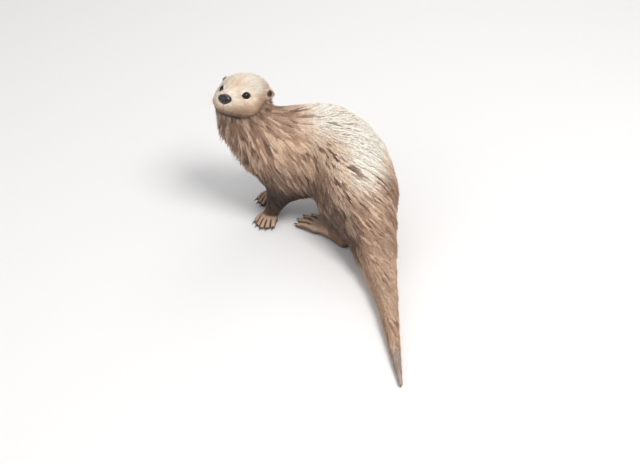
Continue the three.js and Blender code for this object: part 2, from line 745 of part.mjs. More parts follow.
// ---------------------------------------------------------------- the meshes, the origin under their middle
const MATERIALS = {
  head_fur: { color: 0xe3cfae, roughness: 0.85 },
  jaw_fur: { color: 0xe9dbc3, roughness: 0.85 },
  ear_fur: { color: 0xb58e6b, roughness: 0.85 },
  neck_fur: { color: 0x94694a, roughness: 0.85 },
  back_fur: { color: 0xa57d5f, roughness: 0.85 },
  tail_fur: { color: 0x9c7455, roughness: 0.85 },
  leg_fur: { color: 0x7d5a42, roughness: 0.85 },
  paw_fur: { color: 0x5c4434, roughness: 0.85 },
  claw: { color: 0x3a2f28, roughness: 0.4 },
  nose_skin: { color: 0x1d1a1a, roughness: 0.45 },
  eye: { color: 0x0c0908, roughness: 0.08 },
};

const group = new THREE.Group();
group.name = "otter";
const materials = {};
for (const [name, options] of Object.entries(MATERIALS)) {
  materials[name] = new THREE.MeshStandardMaterial({ name, ...options });
}

for (const [name, { solid, material }] of nodes) {
  const mesh = solid.getMesh();
  const geometry = new THREE.BufferGeometry();
  geometry.setAttribute("position", new THREE.BufferAttribute(mesh.vertProperties, 3));
  geometry.setIndex(new THREE.BufferAttribute(mesh.triVerts, 1));
  const piece = new THREE.Mesh(geometry, materials[material]);
  piece.name = name;
  group.add(piece);
}
group.scale.setScalar(SIZE);
const middle = new THREE.Box3().setFromObject(group).getCenter(V(0, 0, 0));
group.position.set(-middle.x, -middle.y, 0);
export default group;
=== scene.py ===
"""The looks of a life-size river otter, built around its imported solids.

One skin replaces the solids of flesh and lies inside them by the depth of the coat. The coat is solid
tufts that start on the skin and follow the lie of the hair. Eyes, nose, claws and whiskers are pieces of
their own. Sizes are in metres, but in the head's own frame (forwards, left, up) they are in its own unit.
"""

import heapq
import math

import bmesh
import bpy
import numpy as np
from mathutils import Euler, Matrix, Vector
from mathutils.bvhtree import BVHTree
from mathutils.kdtree import KDTree


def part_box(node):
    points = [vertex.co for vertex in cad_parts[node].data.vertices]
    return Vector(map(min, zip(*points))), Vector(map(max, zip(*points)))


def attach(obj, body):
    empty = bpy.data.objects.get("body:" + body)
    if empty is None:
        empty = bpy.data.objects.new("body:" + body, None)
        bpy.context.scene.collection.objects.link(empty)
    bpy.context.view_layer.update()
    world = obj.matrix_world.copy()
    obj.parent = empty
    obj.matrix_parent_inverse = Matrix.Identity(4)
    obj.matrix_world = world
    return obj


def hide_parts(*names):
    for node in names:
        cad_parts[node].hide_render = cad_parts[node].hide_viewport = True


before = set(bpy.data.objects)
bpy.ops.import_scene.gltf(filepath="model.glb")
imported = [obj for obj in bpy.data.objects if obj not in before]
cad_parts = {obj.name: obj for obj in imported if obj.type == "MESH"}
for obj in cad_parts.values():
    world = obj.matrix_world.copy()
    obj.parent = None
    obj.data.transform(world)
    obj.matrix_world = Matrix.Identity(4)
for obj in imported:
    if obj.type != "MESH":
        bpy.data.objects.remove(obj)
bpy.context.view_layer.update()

SEED = 7
LEGS = ["front_left", "front_right", "hind_left", "hind_right"]
FLESH = ["head", "lower_jaw", "ear_left", "ear_right", "neck", "chest", "hindquarters", "tail"]
FLESH += [f"{leg}_{part}" for leg in LEGS for part in ("leg", "paw")]
EYES = ["eye_left", "eye_right"]
CLAWS = [f"{leg}_claw_{n}" for leg in LEGS for n in range(1, 6)]

# ---- sizes
SWELL = 0.0004  # closes the gaps between the solids
VOXEL = 0.0018
SKIN_FACES = 120_000  # before the face is refined

COAT = {  # how deep the coat is, and how long and wide its tufts are
    "head": (0.0026, 0.0062, 0.0006),
    "ears": (0.0012, 0.0030, 0.0006),
    "neck": (0.0080, 0.0210, 0.0016),
    "body": (0.0080, 0.0200, 0.0016),
    "tail": (0.0045, 0.0130, 0.0011),
    "legs": (0.0040, 0.0110, 0.0016),
    "paws": (0.0010, 0.0036, 0.0006),
}
FACE_DEPTH = 0.0012
MOST_COAT = 0.24  # of the flesh's thickness
SINK_STEPS = 3


# ---- small helpers
def norm(v):
    return np.linalg.norm(v, axis=-1)


def unit(v):
    return v / np.maximum(norm(v)[..., None], 1e-12)


def smooth(x, low, high):
    """0 at low, 1 at high and a soft step between. It falls where low is above high."""
    t = np.clip((x - low) / (high - low), 0, 1)
    return t * t * (3 - 2 * t)


def mix(a, b, share):
    return a + (b - a) * share


def bump(x, width):
    return np.exp(-((x / width) ** 2))


def window(x, start, full, fading, end):
    """1 from full to fading, and 0 before start and after end."""
    return smooth(x, start, full) * smooth(x, end, fading)


def node_arrays(name):
    """A CAD node's points and triangles, with its doubled points merged."""
    mesh = bmesh.new()
    mesh.from_mesh(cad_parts[name].data)
    bmesh.ops.remove_doubles(mesh, verts=mesh.verts, dist=1e-6)
    bmesh.ops.triangulate(mesh, faces=mesh.faces)
    mesh.verts.index_update()
    points = np.array([v.co for v in mesh.verts])
    triangles = np.array([[v.index for v in f.verts] for f in mesh.faces])
    mesh.free()
    return points, triangles


def centre_of(name):
    low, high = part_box(name)
    return np.array((low + high) / 2)


def mesh_of(name, points, triangles):
    """A Blender mesh from arrays of points and of triangles."""
    mesh = bpy.data.meshes.new(name)
    mesh.vertices.add(len(points))
    mesh.vertices.foreach_set("co", np.asarray(points, np.float32).ravel())
    mesh.loops.add(triangles.size)
    mesh.loops.foreach_set("vertex_index", triangles.ravel().astype(np.int32))
    mesh.polygons.add(len(triangles))
    mesh.polygons.foreach_set("loop_start", np.arange(0, triangles.size, 3, dtype=np.int32))
    mesh.update(calc_edges=True)
    mesh.polygons.foreach_set("use_smooth", np.ones(len(triangles), bool))
    return mesh


def linked(name, data):
    """A new object in the scene."""
    piece = bpy.data.objects.new(name, data)
    bpy.context.scene.collection.objects.link(piece)
    return piece


def piece_of(name, mesh, material):
    mesh.materials.append(material)
    return linked(name, mesh)


def coloured_piece(name, mesh, colours, material, slot, *nodes):
    """A piece of the looks with a colour at each point. It can stand for CAD nodes."""
    layer = mesh.attributes.new("coat", "FLOAT_COLOR", "POINT")
    alpha = np.ones((len(colours), 1))
    layer.data.foreach_set("color", np.hstack([colours, alpha]).astype(np.float32).ravel())
    piece = piece_of(name, mesh, material)
    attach(piece, "root")
    if nodes:
        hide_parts(*nodes)


def joined(parts):
    """One set of arrays from several parts: their points, their triangles and what else they have."""
    starts = np.cumsum([0] + [len(points) for points, *_ in parts[:-1]])
    moved = [(part[0], part[1] + start, *part[2:]) for part, start in zip(parts, starts)]
    return [np.concatenate(arrays) for arrays in zip(*moved)]


def modified(mesh, kind, settings, weights=None):
    """The points and triangles of a mesh after a modifier, which can follow weights from 0 to 1."""
    piece = linked("working", mesh)
    if weights is not None:
        group = piece.vertex_groups.new(name="weights")
        for level in range(11):
            members = np.flatnonzero(np.round(weights * 10) == level).tolist()
            group.add(members, level / 10, "REPLACE")
    modifier = piece.modifiers.new(kind, kind)
    for key, value in settings.items():
        setattr(modifier, key, value)
    evaluated = piece.evaluated_get(bpy.context.evaluated_depsgraph_get())
    result = evaluated.to_mesh()
    result.calc_loop_triangles()
    points = np.empty(len(result.vertices) * 3, np.float32)
    result.vertices.foreach_get("co", points)
    triangles = np.empty(len(result.loop_triangles) * 3, np.int32)
    result.loop_triangles.foreach_get("vertices", triangles)
    evaluated.to_mesh_clear()
    bpy.data.objects.remove(piece)
    return points.reshape(-1, 3).astype(float), triangles.reshape(-1, 3)


class Surface:
    """A closed triangle mesh as arrays, with the neighbours of each point."""

    def __init__(self, points, triangles):
        self.points = points
        self.triangles = triangles
        self.count = len(points)
        corners = np.concatenate([triangles[:, [0, 1]], triangles[:, [1, 2]], triangles[:, [2, 0]]])
        self.start = np.concatenate([corners[:, 0], corners[:, 1]])
        self.end = np.concatenate([corners[:, 1], corners[:, 0]])
        self.valence = np.maximum(np.bincount(self.start, minlength=self.count), 1)

    def around(self, values):
        """The mean of the neighbours' values at each point."""
        if values.ndim == 1:
            return np.bincount(self.start, values[self.end], self.count) / self.valence
        return np.stack([self.around(column) for column in values.T], 1)

    def blurred(self, values, passes):
        for _ in range(passes):
            values = 0.5 * values + 0.5 * self.around(values)
        return values

    def smoothed(self, passes, strength=1.0):
        """Evens out the bumps in some passes, and gives back the girth that they took."""
        share = 0.5 * np.broadcast_to(strength, (self.count,))[:, None]
        before = self.points.copy()
        for _ in range(passes):
            self.points += share * (self.around(self.points) - self.points)
        normals = self.normals()
        lost = ((before - self.points) * normals).sum(1)
        self.points += normals * self.blurred(lost, passes)[:, None]

    def face_normals(self):
        a, b, c = (self.points[self.triangles[:, k]] for k in range(3))
        return np.cross(b - a, c - a) / 2

    def normals(self):
        return unit(self.at_points(self.face_normals()))

    def at_points(self, per_face):
        """The sum over each point's faces."""
        total = np.zeros((self.count, per_face.shape[1]))
        for k in range(3):
            for axis in range(per_face.shape[1]):
                total[:, axis] += np.bincount(self.triangles[:, k], per_face[:, axis], self.count)
        return total

    def gradient(self, values):
        """The slope of a value along the surface, at each point."""
        a, b, c = (self.points[self.triangles[:, k]] for k in range(3))
        va, vb, vc = (values[self.triangles[:, k]][:, None] for k in range(3))
        twice = np.cross(b - a, c - a)
        turned = np.cross(twice, c - b) * va + np.cross(twice, a - c) * vb + np.cross(twice, b - a) * vc
        per_face = turned / np.maximum(norm(twice)[:, None], 1e-12)
        return self.at_points(per_face)

    def tree(self):
        return BVHTree.FromPolygons(self.points.tolist(), self.triangles.tolist())


def largest_part(surface):
    """The surface without the small pockets that the remesh can leave in the gaps."""
    label = np.arange(surface.count)
    while True:
        least = label.copy()
        np.minimum.at(least, surface.start, label[surface.end])
        least = least[least]
        if (least == label).all():
            break
        label = least
    kept = label == np.argmax(np.bincount(label))
    number = np.cumsum(kept) - 1
    triangles = surface.triangles[kept[surface.triangles].all(1)]
    return Surface(surface.points[kept], number[triangles])


def split_long(points, triangles, wanted):
    """Splits edges that are longer than wanted(their middles). A face becomes two, three or four."""
    triangles = triangles.astype(np.int64)
    ends = np.sort(triangles[:, [[0, 1], [1, 2], [2, 0]]], 2)
    keys, which = np.unique(ends[..., 0] * len(points) + ends[..., 1], return_inverse=True)
    a = points[keys // len(points)]
    b = points[keys % len(points)]
    middle = (a + b) / 2
    is_long = norm(a - b) > wanted(middle)
    number = np.where(is_long, np.cumsum(is_long) - 1 + len(points), -1)
    middles = number[which.reshape(-1)].reshape(-1, 3)
    splits = (middles >= 0).sum(1)
    result = [triangles[splits == 0]]
    for turn in range(3):
        v0, v1, v2 = (triangles[:, (turn + k) % 3] for k in range(3))
        m0, m1, m2 = (middles[:, (turn + k) % 3] for k in range(3))
        one = (splits == 1) & (m0 >= 0)
        two = (splits == 2) & (m0 < 0)
        result += [np.stack(t, 1)[one] for t in ((v0, m0, v2), (m0, v1, v2))]
        result += [np.stack(t, 1)[two] for t in ((v2, m2, m1), (v0, v1, m1), (v0, m1, m2))]
    three = splits == 3
    v0, v1, v2 = triangles.T
    m0, m1, m2 = middles.T
    result += [np.stack(t, 1)[three] for t in ((v0, m0, m2), (m0, v1, m1), (m2, m1, v2), (m0, m1, m2))]
    return np.concatenate([points, middle[is_long]]), np.concatenate(result)


# ---- the head's frame
EYES_MIDDLE = np.array([27.0, 0.0, 8.5])  # in the head's own units, as are all sizes of the face
EYE_ACROSS = 22.0
EYE_BALL = 8.4
NOSE_AT = np.array([60.0, 0.0, -1.0])
NOSE_SIZE = np.array([6.8, 13.0, 9.2])

eye_left, eye_right = (centre_of(name) for name in EYES)
between_eyes = (eye_left + eye_right) / 2
to_nose = centre_of("nose") - between_eyes
HEAD_UNIT = norm(to_nose) / norm(NOSE_AT - EYES_MIDDLE)
dip = math.atan2(*(NOSE_AT - EYES_MIDDLE)[[2, 0]])
left_axis = unit(eye_left - eye_right)
nose_axis = unit(to_nose)
square_axis = np.cross(nose_axis, left_axis)
forward_axis = math.cos(dip) * nose_axis - math.sin(dip) * square_axis
up_axis = math.sin(dip) * nose_axis + math.cos(dip) * square_axis
HEAD_AXES = np.stack([forward_axis, left_axis, up_axis])


def in_head(points):
    return (points - between_eyes) @ HEAD_AXES.T / HEAD_UNIT + EYES_MIDDLE


def from_head(local):
    return (local - EYES_MIDDLE) * HEAD_UNIT @ HEAD_AXES + between_eyes


# ---- the skin
def flesh_outline():
    """All the flesh as one closed surface, rounded, at the tips of the coat."""
    parts = []
    for name in FLESH + EYES + ["nose"]:
        points, triangles = node_arrays(name)
        swollen = points + Surface(points, triangles).normals() * SWELL
        parts.append((swollen, triangles))
    mesh = mesh_of("outline", *joined(parts))
    return Surface(*modified(mesh, "REMESH", {"mode": "VOXEL", "voxel_size": VOXEL}))


def distance_to(points, names):
    """How far points are from some CAD nodes, or FAR where they are farther."""
    best = np.full(len(points), FAR)
    for name in names:
        tree = BVHTree.FromPolygons(*(part.tolist() for part in node_arrays(name)))
        low, high = (np.array(corner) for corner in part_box(name))
        gap = norm(np.maximum(np.maximum(low - points, points - high), 0))
        for i in np.flatnonzero(gap < best):
            found = tree.find_nearest(Vector(points[i]), best[i])
            if found[3] is not None:
                best[i] = found[3]
    return best


PARTS = {
    "head": ["head", "lower_jaw"],
    "ears": ["ear_left", "ear_right"],
    "neck": ["neck"],
    "body": ["chest", "hindquarters"],
    "tail": ["tail"],
    "legs": [f"{leg}_leg" for leg in LEGS],
    "paws": [f"{leg}_paw" for leg in LEGS],
}
BORDER = 0.004  # softness of the borders between parts
FAR = 0.08  # the longest distance to a part that counts
THICK = 0.1  # the thickest flesh that counts


def coat_sizes(shares):
    """The coat's depth, and its tufts' length and width, at some points."""
    return (sum(size * shares[part] for part, size in zip(COAT, sizes)) for sizes in zip(*COAT.values()))


def part_shares(surface):
    """How much each point belongs to each part, as shares that add up to 1."""
    raw = {part: np.exp(-distance_to(surface.points, names) / BORDER) for part, names in PARTS.items()}
    total = sum(raw.values())
    return {part: raw[part] / total for part in PARTS}


def coat_depth(surface, shares):
    """How far the skin lies inside the tips of the coat, at each point."""
    local = in_head(surface.points)
    face = smooth(local[:, 0], 14, 40) * shares["head"]
    depth, _, _ = coat_sizes(shares)
    depth -= (COAT["head"][0] - FACE_DEPTH) * face
    normals = surface.normals()
    tree = surface.tree()
    thickness = np.full(surface.count, THICK)
    for i, (point, normal) in enumerate(zip(surface.points, normals)):
        hit = tree.ray_cast(Vector(point - normal * 1e-4), Vector(-normal), THICK)
        if hit[3] is not None:
            thickness[i] = hit[3]
    depth = surface.blurred(np.minimum(depth, MOST_COAT * surface.blurred(thickness, 2)), 8)
    on_floor = smooth(surface.points[:, 2], 0.004, 0.001) * smooth(-normals[:, 2], 0.3, 0.8)
    return depth * (1 - surface.blurred(on_floor, 1))


def sink(surface, depth):
    """Moves the surface in by the depth, a step at a time."""
    for _ in range(SINK_STEPS):
        normals = unit(surface.blurred(surface.normals(), 3))
        surface.points -= normals * (depth / SINK_STEPS)[:, None]
    surface.points[:, 2] = np.maximum(surface.points[:, 2], 0)


# ---- the face, in the head's own units
EYE_AXIS = np.array([0.66, 0.66, 0.33])
EYE_CORNER = np.array([1.0, -0.50, -0.30])  # towards the inner corner of the lids
LID_HALF = 0.87  # half the lids' opening, as a share of the eyeball's radius
LID_UP = 0.69
LID_DOWN = 0.62
LID_BEND = 1.65  # 2 would be an ellipse, and less brings its corners to points
EAR_AT = np.array([-15.0, 46.5, 17.0])
EAR_SIZE = np.array([4.4, 9.5, 10.5])
EAR_TURN = (0.35, 0.25, 0.75)
EAR_CUP = (0.74, 0.78)  # its width and height, as shares of the ear's
# how far forward and how high the line of the mouth runs
MOUTH_LINE = ([8, 14, 21, 28, 36, 46, 58, 64], [-11, -17, -22.5, -25, -25.5, -24.5, -21.5, -19.5])


def mirrored(v, side):
    return v * np.array([1, side, 1])


def eye_frame(side):
    """The eye's centre and axes: out of the head, to the inner corner and up."""
    out = unit(mirrored(EYE_AXIS, side))
    corner = mirrored(EYE_CORNER, side)
    inner = unit(corner - out * (corner @ out))
    up = np.cross(inner, out) * side
    centre = np.array([EYES_MIDDLE[0], EYE_ACROSS * side, EYES_MIDDLE[2]])
    return centre, np.stack([out, inner, up])


def lids(local, side):
    """How far points are from the eye, how far out in the lids' opening (1 at its edge), how far above
    the line of its corners, and whether they are on the eye's side of the head."""
    centre, axes = eye_frame(side)
    offset = local - centre
    far = norm(offset)
    out, inner, up = (offset @ axes.T / np.maximum(far, 1e-6)[:, None]).T
    half_height = np.where(up > 0, LID_UP, LID_DOWN)
    bent = np.abs(inner / LID_HALF) ** LID_BEND + np.abs(up / half_height) ** LID_BEND
    return far, bent ** (1 / LID_BEND), up, smooth(out, 0.0, 0.25) * smooth(far, 19, 15)


def ear_frame(side):
    turn = Euler((EAR_TURN[0] * side, EAR_TURN[1], EAR_TURN[2] * side), "ZYX").to_matrix()
    return mirrored(EAR_AT, side), np.array(turn)


def in_ear(local, side):
    """Points in the ear's own frame and sizes, and how far out in its cup they are (1 at its edge)."""
    centre, turn = ear_frame(side)
    ear = (local - centre) @ turn / EAR_SIZE
    return ear, np.hypot(ear[:, 1] / EAR_CUP[0], ear[:, 2] / EAR_CUP[1])


def mouth_height(x):
    return np.interp(x, *MOUTH_LINE)


def sculpt_face(surface):
    local = in_head(surface.points)
    normals = surface.normals() @ HEAD_AXES.T

    # lips, and the cleft from the nose to the mouth
    above = local[:, 2] - mouth_height(local[:, 0])
    on_lips = smooth(local[:, 0], 12, 20)
    lip = 0.25 * bump(above - 2.0, 1.6) - 0.20 * bump(above + 1.9, 1.6) - 0.8 * bump(above, 0.85)
    cleft = -0.8 * bump(local[:, 1], 0.8) * smooth(local[:, 0], 48, 54)
    cleft *= smooth(above, -1, 0.5) * smooth(local[:, 2], -4, -7)
    local += normals * (lip * on_lips + cleft)[:, None]

    # the seat of the nose
    from_nose = norm((local - NOSE_AT) / NOSE_SIZE)
    local[:, 0] -= 5.5 * smooth(from_nose, 1.10, 0.80) * smooth(local[:, 0], 54, 58)

    for side in (1, -1):
        # the cup of the ear
        ear, in_cup = in_ear(local, side)
        cup = smooth(in_cup, 1.0, 0.45) * smooth(ear[:, 0], -0.05, 0.35) * (np.abs(ear[:, 2]) < 1.4)
        local -= (cup * (ear[:, 0] + 0.30) * EAR_SIZE[0])[:, None] * ear_frame(side)[1][:, 0]

        # lids, drawn over the eyeball by moving points along lines from its centre
        centre, _ = eye_frame(side)
        far, round_eye, up, faces = lids(local, side)
        lid = mix(EYE_BALL - 0.9, EYE_BALL + 0.42, smooth(round_eye, 0.92, 1.02))
        lid += 0.45 * smooth(round_eye, 1.0, 1.3)
        fold = 0.40 * bump(round_eye - 1.48, 0.13) * smooth(up, -0.1, 0.2)
        fold += 0.20 * bump(round_eye - 1.42, 0.12) * smooth(-up, 0.0, 0.2)
        settled = mix(lid, far, smooth(round_eye, 1.15, 1.85)) - fold
        moved = centre + (local - centre) * (settled / np.maximum(far, 1e-6))[:, None]
        local = mix(local, moved, faces[:, None])

    surface.points = from_head(local)


GAP_FROM = 0.001  # a gap between toes starts this far behind the claws' middles
GAP_LENGTH = 0.027
GAP_HALF = 0.0016
GAP_DEPTH = 0.0016


def between_toes(points):
    """How far into the gaps between the toes of the front paws points are, 1 along the middle of a gap."""
    share = np.zeros(len(points))
    for leg in LEGS[:2]:
        claws = np.array([centre_of(f"{leg}_claw_{n}") for n in range(1, 6)])
        paw = centre_of(f"{leg}_paw")
        ankle = paw + 1.2 * (paw - claws.mean(0))
        for gap in (claws[1:] + claws[:-1]) / 2:
            way = unit((ankle - gap)[:2])
            offset = points[:, :2] - gap[:2]
            along = offset @ way - GAP_FROM
            across = offset @ np.array([-way[1], way[0]])
            length = window(along, 0, 0.003, 0.6 * GAP_LENGTH, GAP_LENGTH)
            share = np.maximum(share, bump(across, GAP_HALF) * length)
    return share * window(points[:, 2], 0.003, 0.006, 0.04, 0.05)


EDGES = {  # the longest that the skin's edges may be
    "body": 0.0065,
    "head": 0.0030,
    "muzzle": 0.0021,
    "toes": 0.0013,
    "mouth": 0.0011,
    "ears": 0.0015,
    "eyes": 0.0014,
    "lids": 0.0007,
}


def longest_edge(points):
    """How long the skin's edges may be at some points."""
    local = in_head(points)
    x = local[:, 0]
    wanted = np.full(len(points), EDGES["body"])
    wanted[norm(local - [10, 0, 0]) < 75] = EDGES["head"]
    wanted[(x > 30) & (norm(local - NOSE_AT) < 45)] = EDGES["muzzle"]
    wanted[between_toes(points) > 0.15] = EDGES["toes"]
    wanted[(np.abs(local[:, 2] - mouth_height(x)) < 4) & (x > 10) & (x < 75)] = EDGES["mouth"]
    for side in (1, -1):
        wanted[norm(in_ear(local, side)[0]) < 1.5] = EDGES["ears"]
        far, round_eye, _, faces = lids(local, side)
        near = (faces > 0) & (far < 14)
        wanted[near & (round_eye < 2.1)] = EDGES["eyes"]
        wanted[near & (round_eye > 0.8) & (round_eye < 1.3)] = EDGES["lids"]
    return wanted


skin = largest_part(flesh_outline())
shares = part_shares(skin)
detailed = skin.blurred(np.clip(shares["head"] + shares["ears"] + shares["paws"], 0, 1), 4)
skin.smoothed(90, 1 - smooth(detailed, 0.2, 0.8))
skin.smoothed(9, smooth(detailed, 0.2, 0.8))
fewer = {"ratio": SKIN_FACES / len(skin.triangles), "vertex_group": "weights", "vertex_group_factor": 1.0}
mesh = mesh_of("skin", skin.points, skin.triangles)
skin = Surface(*modified(mesh, "DECIMATE", fewer, 1 - 0.2 * detailed))
outline_tree = skin.tree()
sink(skin, coat_depth(skin, part_shares(skin)))
for _ in range(3):
    skin = Surface(*split_long(skin.points, skin.triangles, longest_edge))
    skin.smoothed(3, (longest_edge(skin.points) < 0.004).astype(float))
sculpt_face(skin)
skin.points = skin.points - skin.normals() * (GAP_DEPTH * between_toes(skin.points))[:, None]
shares = part_shares(skin)


# ---- the lie of the coat and its streaks
def reach_from(surface, seed):
    """How far each point is from one point, over the surface."""
    lengths = norm(surface.points[surface.start] - surface.points[surface.end])
    order = np.argsort(surface.start, kind="stable")
    first = np.searchsorted(surface.start[order], np.arange(surface.count + 1)).tolist()
    ends = surface.end[order].tolist()
    steps = lengths[order].tolist()
    reach = [math.inf] * surface.count
    reach[seed] = 0.0
    queue = [(0.0, seed)]
    while queue:
        so_far, at = heapq.heappop(queue)
        if so_far > reach[at]:
            continue
        for k in range(first[at], first[at + 1]):
            further = so_far + steps[k]
            if further < reach[ends[k]]:
                reach[ends[k]] = further
                heapq.heappush(queue, (further, ends[k]))
    return np.array(reach)


def along_surface(vectors, normals):
    return unit(vectors - normals * (vectors * normals).sum(1, keepdims=True))


def lie_of_coat(surface, reach, normals, droop):
    """The way that the hair points: away from the nose, and down where it droops, but not uphill."""
    lie = unit(surface.gradient(surface.blurred(reach, 12)))
    lie[:, 2] -= droop * smooth(lie[:, 2], 0.35, 0.05)
    for _ in range(40):
        lie = along_surface(0.5 * lie + 0.5 * surface.around(lie), normals)
    return lie


def combed(surface, values, lie, passes):
    """Values spread along the lie of the coat, and hardly across it."""
    way = unit(surface.points[surface.end] - surface.points[surface.start])
    share = np.abs((way * lie[surface.start]).sum(1)) ** 8 + 0.008
    total = np.bincount(surface.start, share, surface.count)
    for _ in range(passes):
        spread = np.bincount(surface.start, share * values[surface.end], surface.count) / total
        values = 0.4 * values + 0.6 * spread
    return values


def evened(surface, values, passes):
    """Values spread evenly from 0 to 1 around each place."""
    away = values - surface.blurred(values, passes)
    spread = np.sqrt(surface.blurred(away**2, passes)) + 1e-9
    return 1 / (1 + np.exp(-1.7 * away / spread))


# ---- markings, with painted highlight and painted shade
def linear(red, green, blue):
    """A colour of a screen, from 0 to 255, as light."""
    c = np.array([red, green, blue]) / 255
    return np.where(c <= 0.04045, c / 12.92, ((c + 0.055) / 1.055) ** 2.4)


CREAM = linear(254, 241, 225)
BUFF = linear(234, 204, 176)
TAN = linear(198, 163, 137)
BROWN = linear(160, 126, 105)
UMBER = linear(108, 86, 76)
DARK = linear(50, 41, 39)
GREYISH = linear(172, 156, 148)
NEAR_BLACK = linear(24, 19, 17)
EAR_DARK = linear(70, 52, 44)

# how far forward and how high the lower edge of the pale face runs
JAW_EDGE = ([-9, -2, 4, 14, 21, 27, 46, 58], [8, 1, -4, -16, -27, -32, -30, -27])
# the ways that the parts with a painted highlight face
BACK_HIGHLIGHT_WAY = np.array([0.50, -0.10, 0.86])
FLANK_HIGHLIGHT_WAY = np.array([0.25, -0.62, 0.74])
# how far from the nose parts of the body fade in or out
NECK_ENDS = (0.27, 0.16)
BACK_HIGHLIGHT_REACH = (0.165, 0.245, 0.37, 0.46)
FLANK_HIGHLIGHT_ENDS = (0.44, 0.38)
HAUNCH = (0.39, 0.44, 0.49, 0.56)
BELLY_ENDS = (0.50, 0.44)
TAIL_STARTS = (0.45, 0.53)
TAIL_TIP = (0.750, 0.785)


def painted(base, *coats):
    for colour, share in coats:
        base = mix(base, colour, np.clip(share, 0, 1)[:, None])
    return base


def body_colours(at):
    """The coat behind the head: tan, with a cream painted highlight on the back and a paler one on the
    flank, and dark painted shade under the body, near the floor, between the front legs and on the side of
    the haunch that faces +x.
    """
    x, y, z = at["points"].T
    normals = at["normals"]
    up = normals[:, 2]
    reach = at["reach"]
    neck = smooth(reach, *NECK_ENDS)
    haunch = window(reach, *HAUNCH)
    tail = smooth(reach, *TAIL_STARTS)
    # painted highlight on the parts of the back and the flank that face these ways
    back_highlight = smooth(normals @ unit(BACK_HIGHLIGHT_WAY), 0.38, 0.80) * window(reach, *BACK_HIGHLIGHT_REACH)
    back_highlight *= 1 - smooth(x, 0.04, -0.03) * smooth(up, 0.95, 0.72)
    flank_highlight = smooth(normals @ unit(FLANK_HIGHLIGHT_WAY), 0.15, 0.75) * smooth(reach, *FLANK_HIGHLIGHT_ENDS)
    flank_highlight *= smooth(x, -0.02, 0.04) * smooth(z, 0.135, 0.185)
    # painted shade: on the lower sides of the belly, under the body, darker near the floor, and on the
    # chest between the front legs
    belly_shade = smooth(z, 0.165, 0.115) * smooth(up, 0.7, 0.2)
    belly_shade *= smooth(reach, *BELLY_ENDS) * (1 - at["paws"])
    under = smooth(-up, -0.45, 0.35) * (1 - tail)
    low = smooth(z, 0.115, 0.045) * (1 - at["tail"]) * (1 - 0.45 * (at["legs"] + at["paws"]))
    brisket_shade = smooth(y, 0.12, 0.15) * smooth(z, 0.13, 0.09) * smooth(x, 0.0, -0.05)
    tip = smooth(reach, *TAIL_TIP) * at["tail"]
    # streaks cover the places where the streaky pattern is low (dark) or high (pale)
    streak = 0.70 * at["fine"] + 0.30 * at["broad"]
    dark = (0.34 + 0.05 * neck - 0.15 * back_highlight) * (1 - 0.4 * tail)
    pale = (0.30 + 0.06 * neck + 0.10 * back_highlight) * (1 - 0.3 * tail)
    brown_streaks = smooth(dark - streak, -0.05, 0.07) * (1 - 0.4 * tail) * (1 - 0.35 * back_highlight)
    umber_streaks = smooth(0.55 * dark - streak, -0.05, 0.06) * (1 - 0.5 * tail) * (1 - 0.5 * back_highlight)
    buff_streaks = smooth(streak - 1 + pale, -0.05, 0.08) * (1 - 0.4 * tail) * (1 - back_highlight)
    return painted(
        np.broadcast_to(TAN, normals.shape),
        (BROWN, 0.42 * neck),
        (BROWN, 0.38 * haunch),
        # painted shade on the side of the haunch that faces +x
        (BROWN, 0.70 * haunch * smooth(normals[:, 0], 0.2, 0.7)),
        # painted highlight along the top of the tail
        (BUFF, 0.15 * tail * smooth(up, 0.3, 1.0)),
        # painted highlight on the flank and the back
        (BUFF, 0.85 * flank_highlight),
        (CREAM, 0.40 * flank_highlight * smooth(x, 0.02, 0.10)),
        (CREAM, 0.98 * back_highlight),
        (BROWN, 0.90 * brown_streaks),
        (UMBER, 0.75 * umber_streaks),
        (BUFF, 0.65 * buff_streaks),
        # painted shade under the body, on the belly's sides, near the floor and between the front legs
        (UMBER, 0.80 * under * (1 - 0.35 * streak) * (1 - 0.35 * neck)),
        (UMBER, 0.72 * belly_shade * (0.5 + 0.5 * smooth(0.7 - streak, -0.1, 0.2))),
        (DARK, 0.90 * under * low),
        (UMBER, 0.55 * low * (1 - 0.5 * back_highlight)),
        (DARK, 0.85 * brisket_shade),
        (GREYISH, 0.75 * tip),
    )


def limb_colours(colour, at):
    """Dark legs, and paws with a painted highlight along the tops of the toes and painted shade between the
    toes, in their hollows, on their sides and underneath.
    """
    x, y, z = at["points"].T
    up = at["normals"][:, 2]
    legs = at["legs"]
    paws = at["paws"]
    hollow = at["hollow"]
    front = smooth(y, 0.15, 0.17) * smooth(x, 0.02, -0.03)
    return painted(
        colour,
        (UMBER, 0.80 * legs * (0.20 + 0.80 * np.maximum(front, 0.5 * smooth(z, 0.10, 0.035)))),
        (DARK, 0.90 * legs * front * (0.6 + 0.4 * smooth(0.55 - at["fine"], -0.1, 0.2))),
        (BROWN, 0.85 * paws),
        (TAN, 0.75 * paws * (1 - front)),
        # painted shade on the paws' sides, in their hollows, between the toes and underneath, and a painted
        # highlight on the tops of the toes
        (DARK, 0.60 * paws * smooth(up, 0.8, 0.2)),
        (DARK, (0.85 - 0.35 * front) * paws * smooth(hollow, 0.00002, 0.00012)),
        (BUFF, 0.55 * paws * smooth(up, 0.45, 0.95) * smooth(hollow, 0.00010, -0.00002)),
        (DARK, 0.80 * paws * between_toes(at["points"]) * smooth(up, 0.1, 0.4)),
        (DARK, 0.85 * paws * smooth(-up, 0.3, 0.7)),
    )


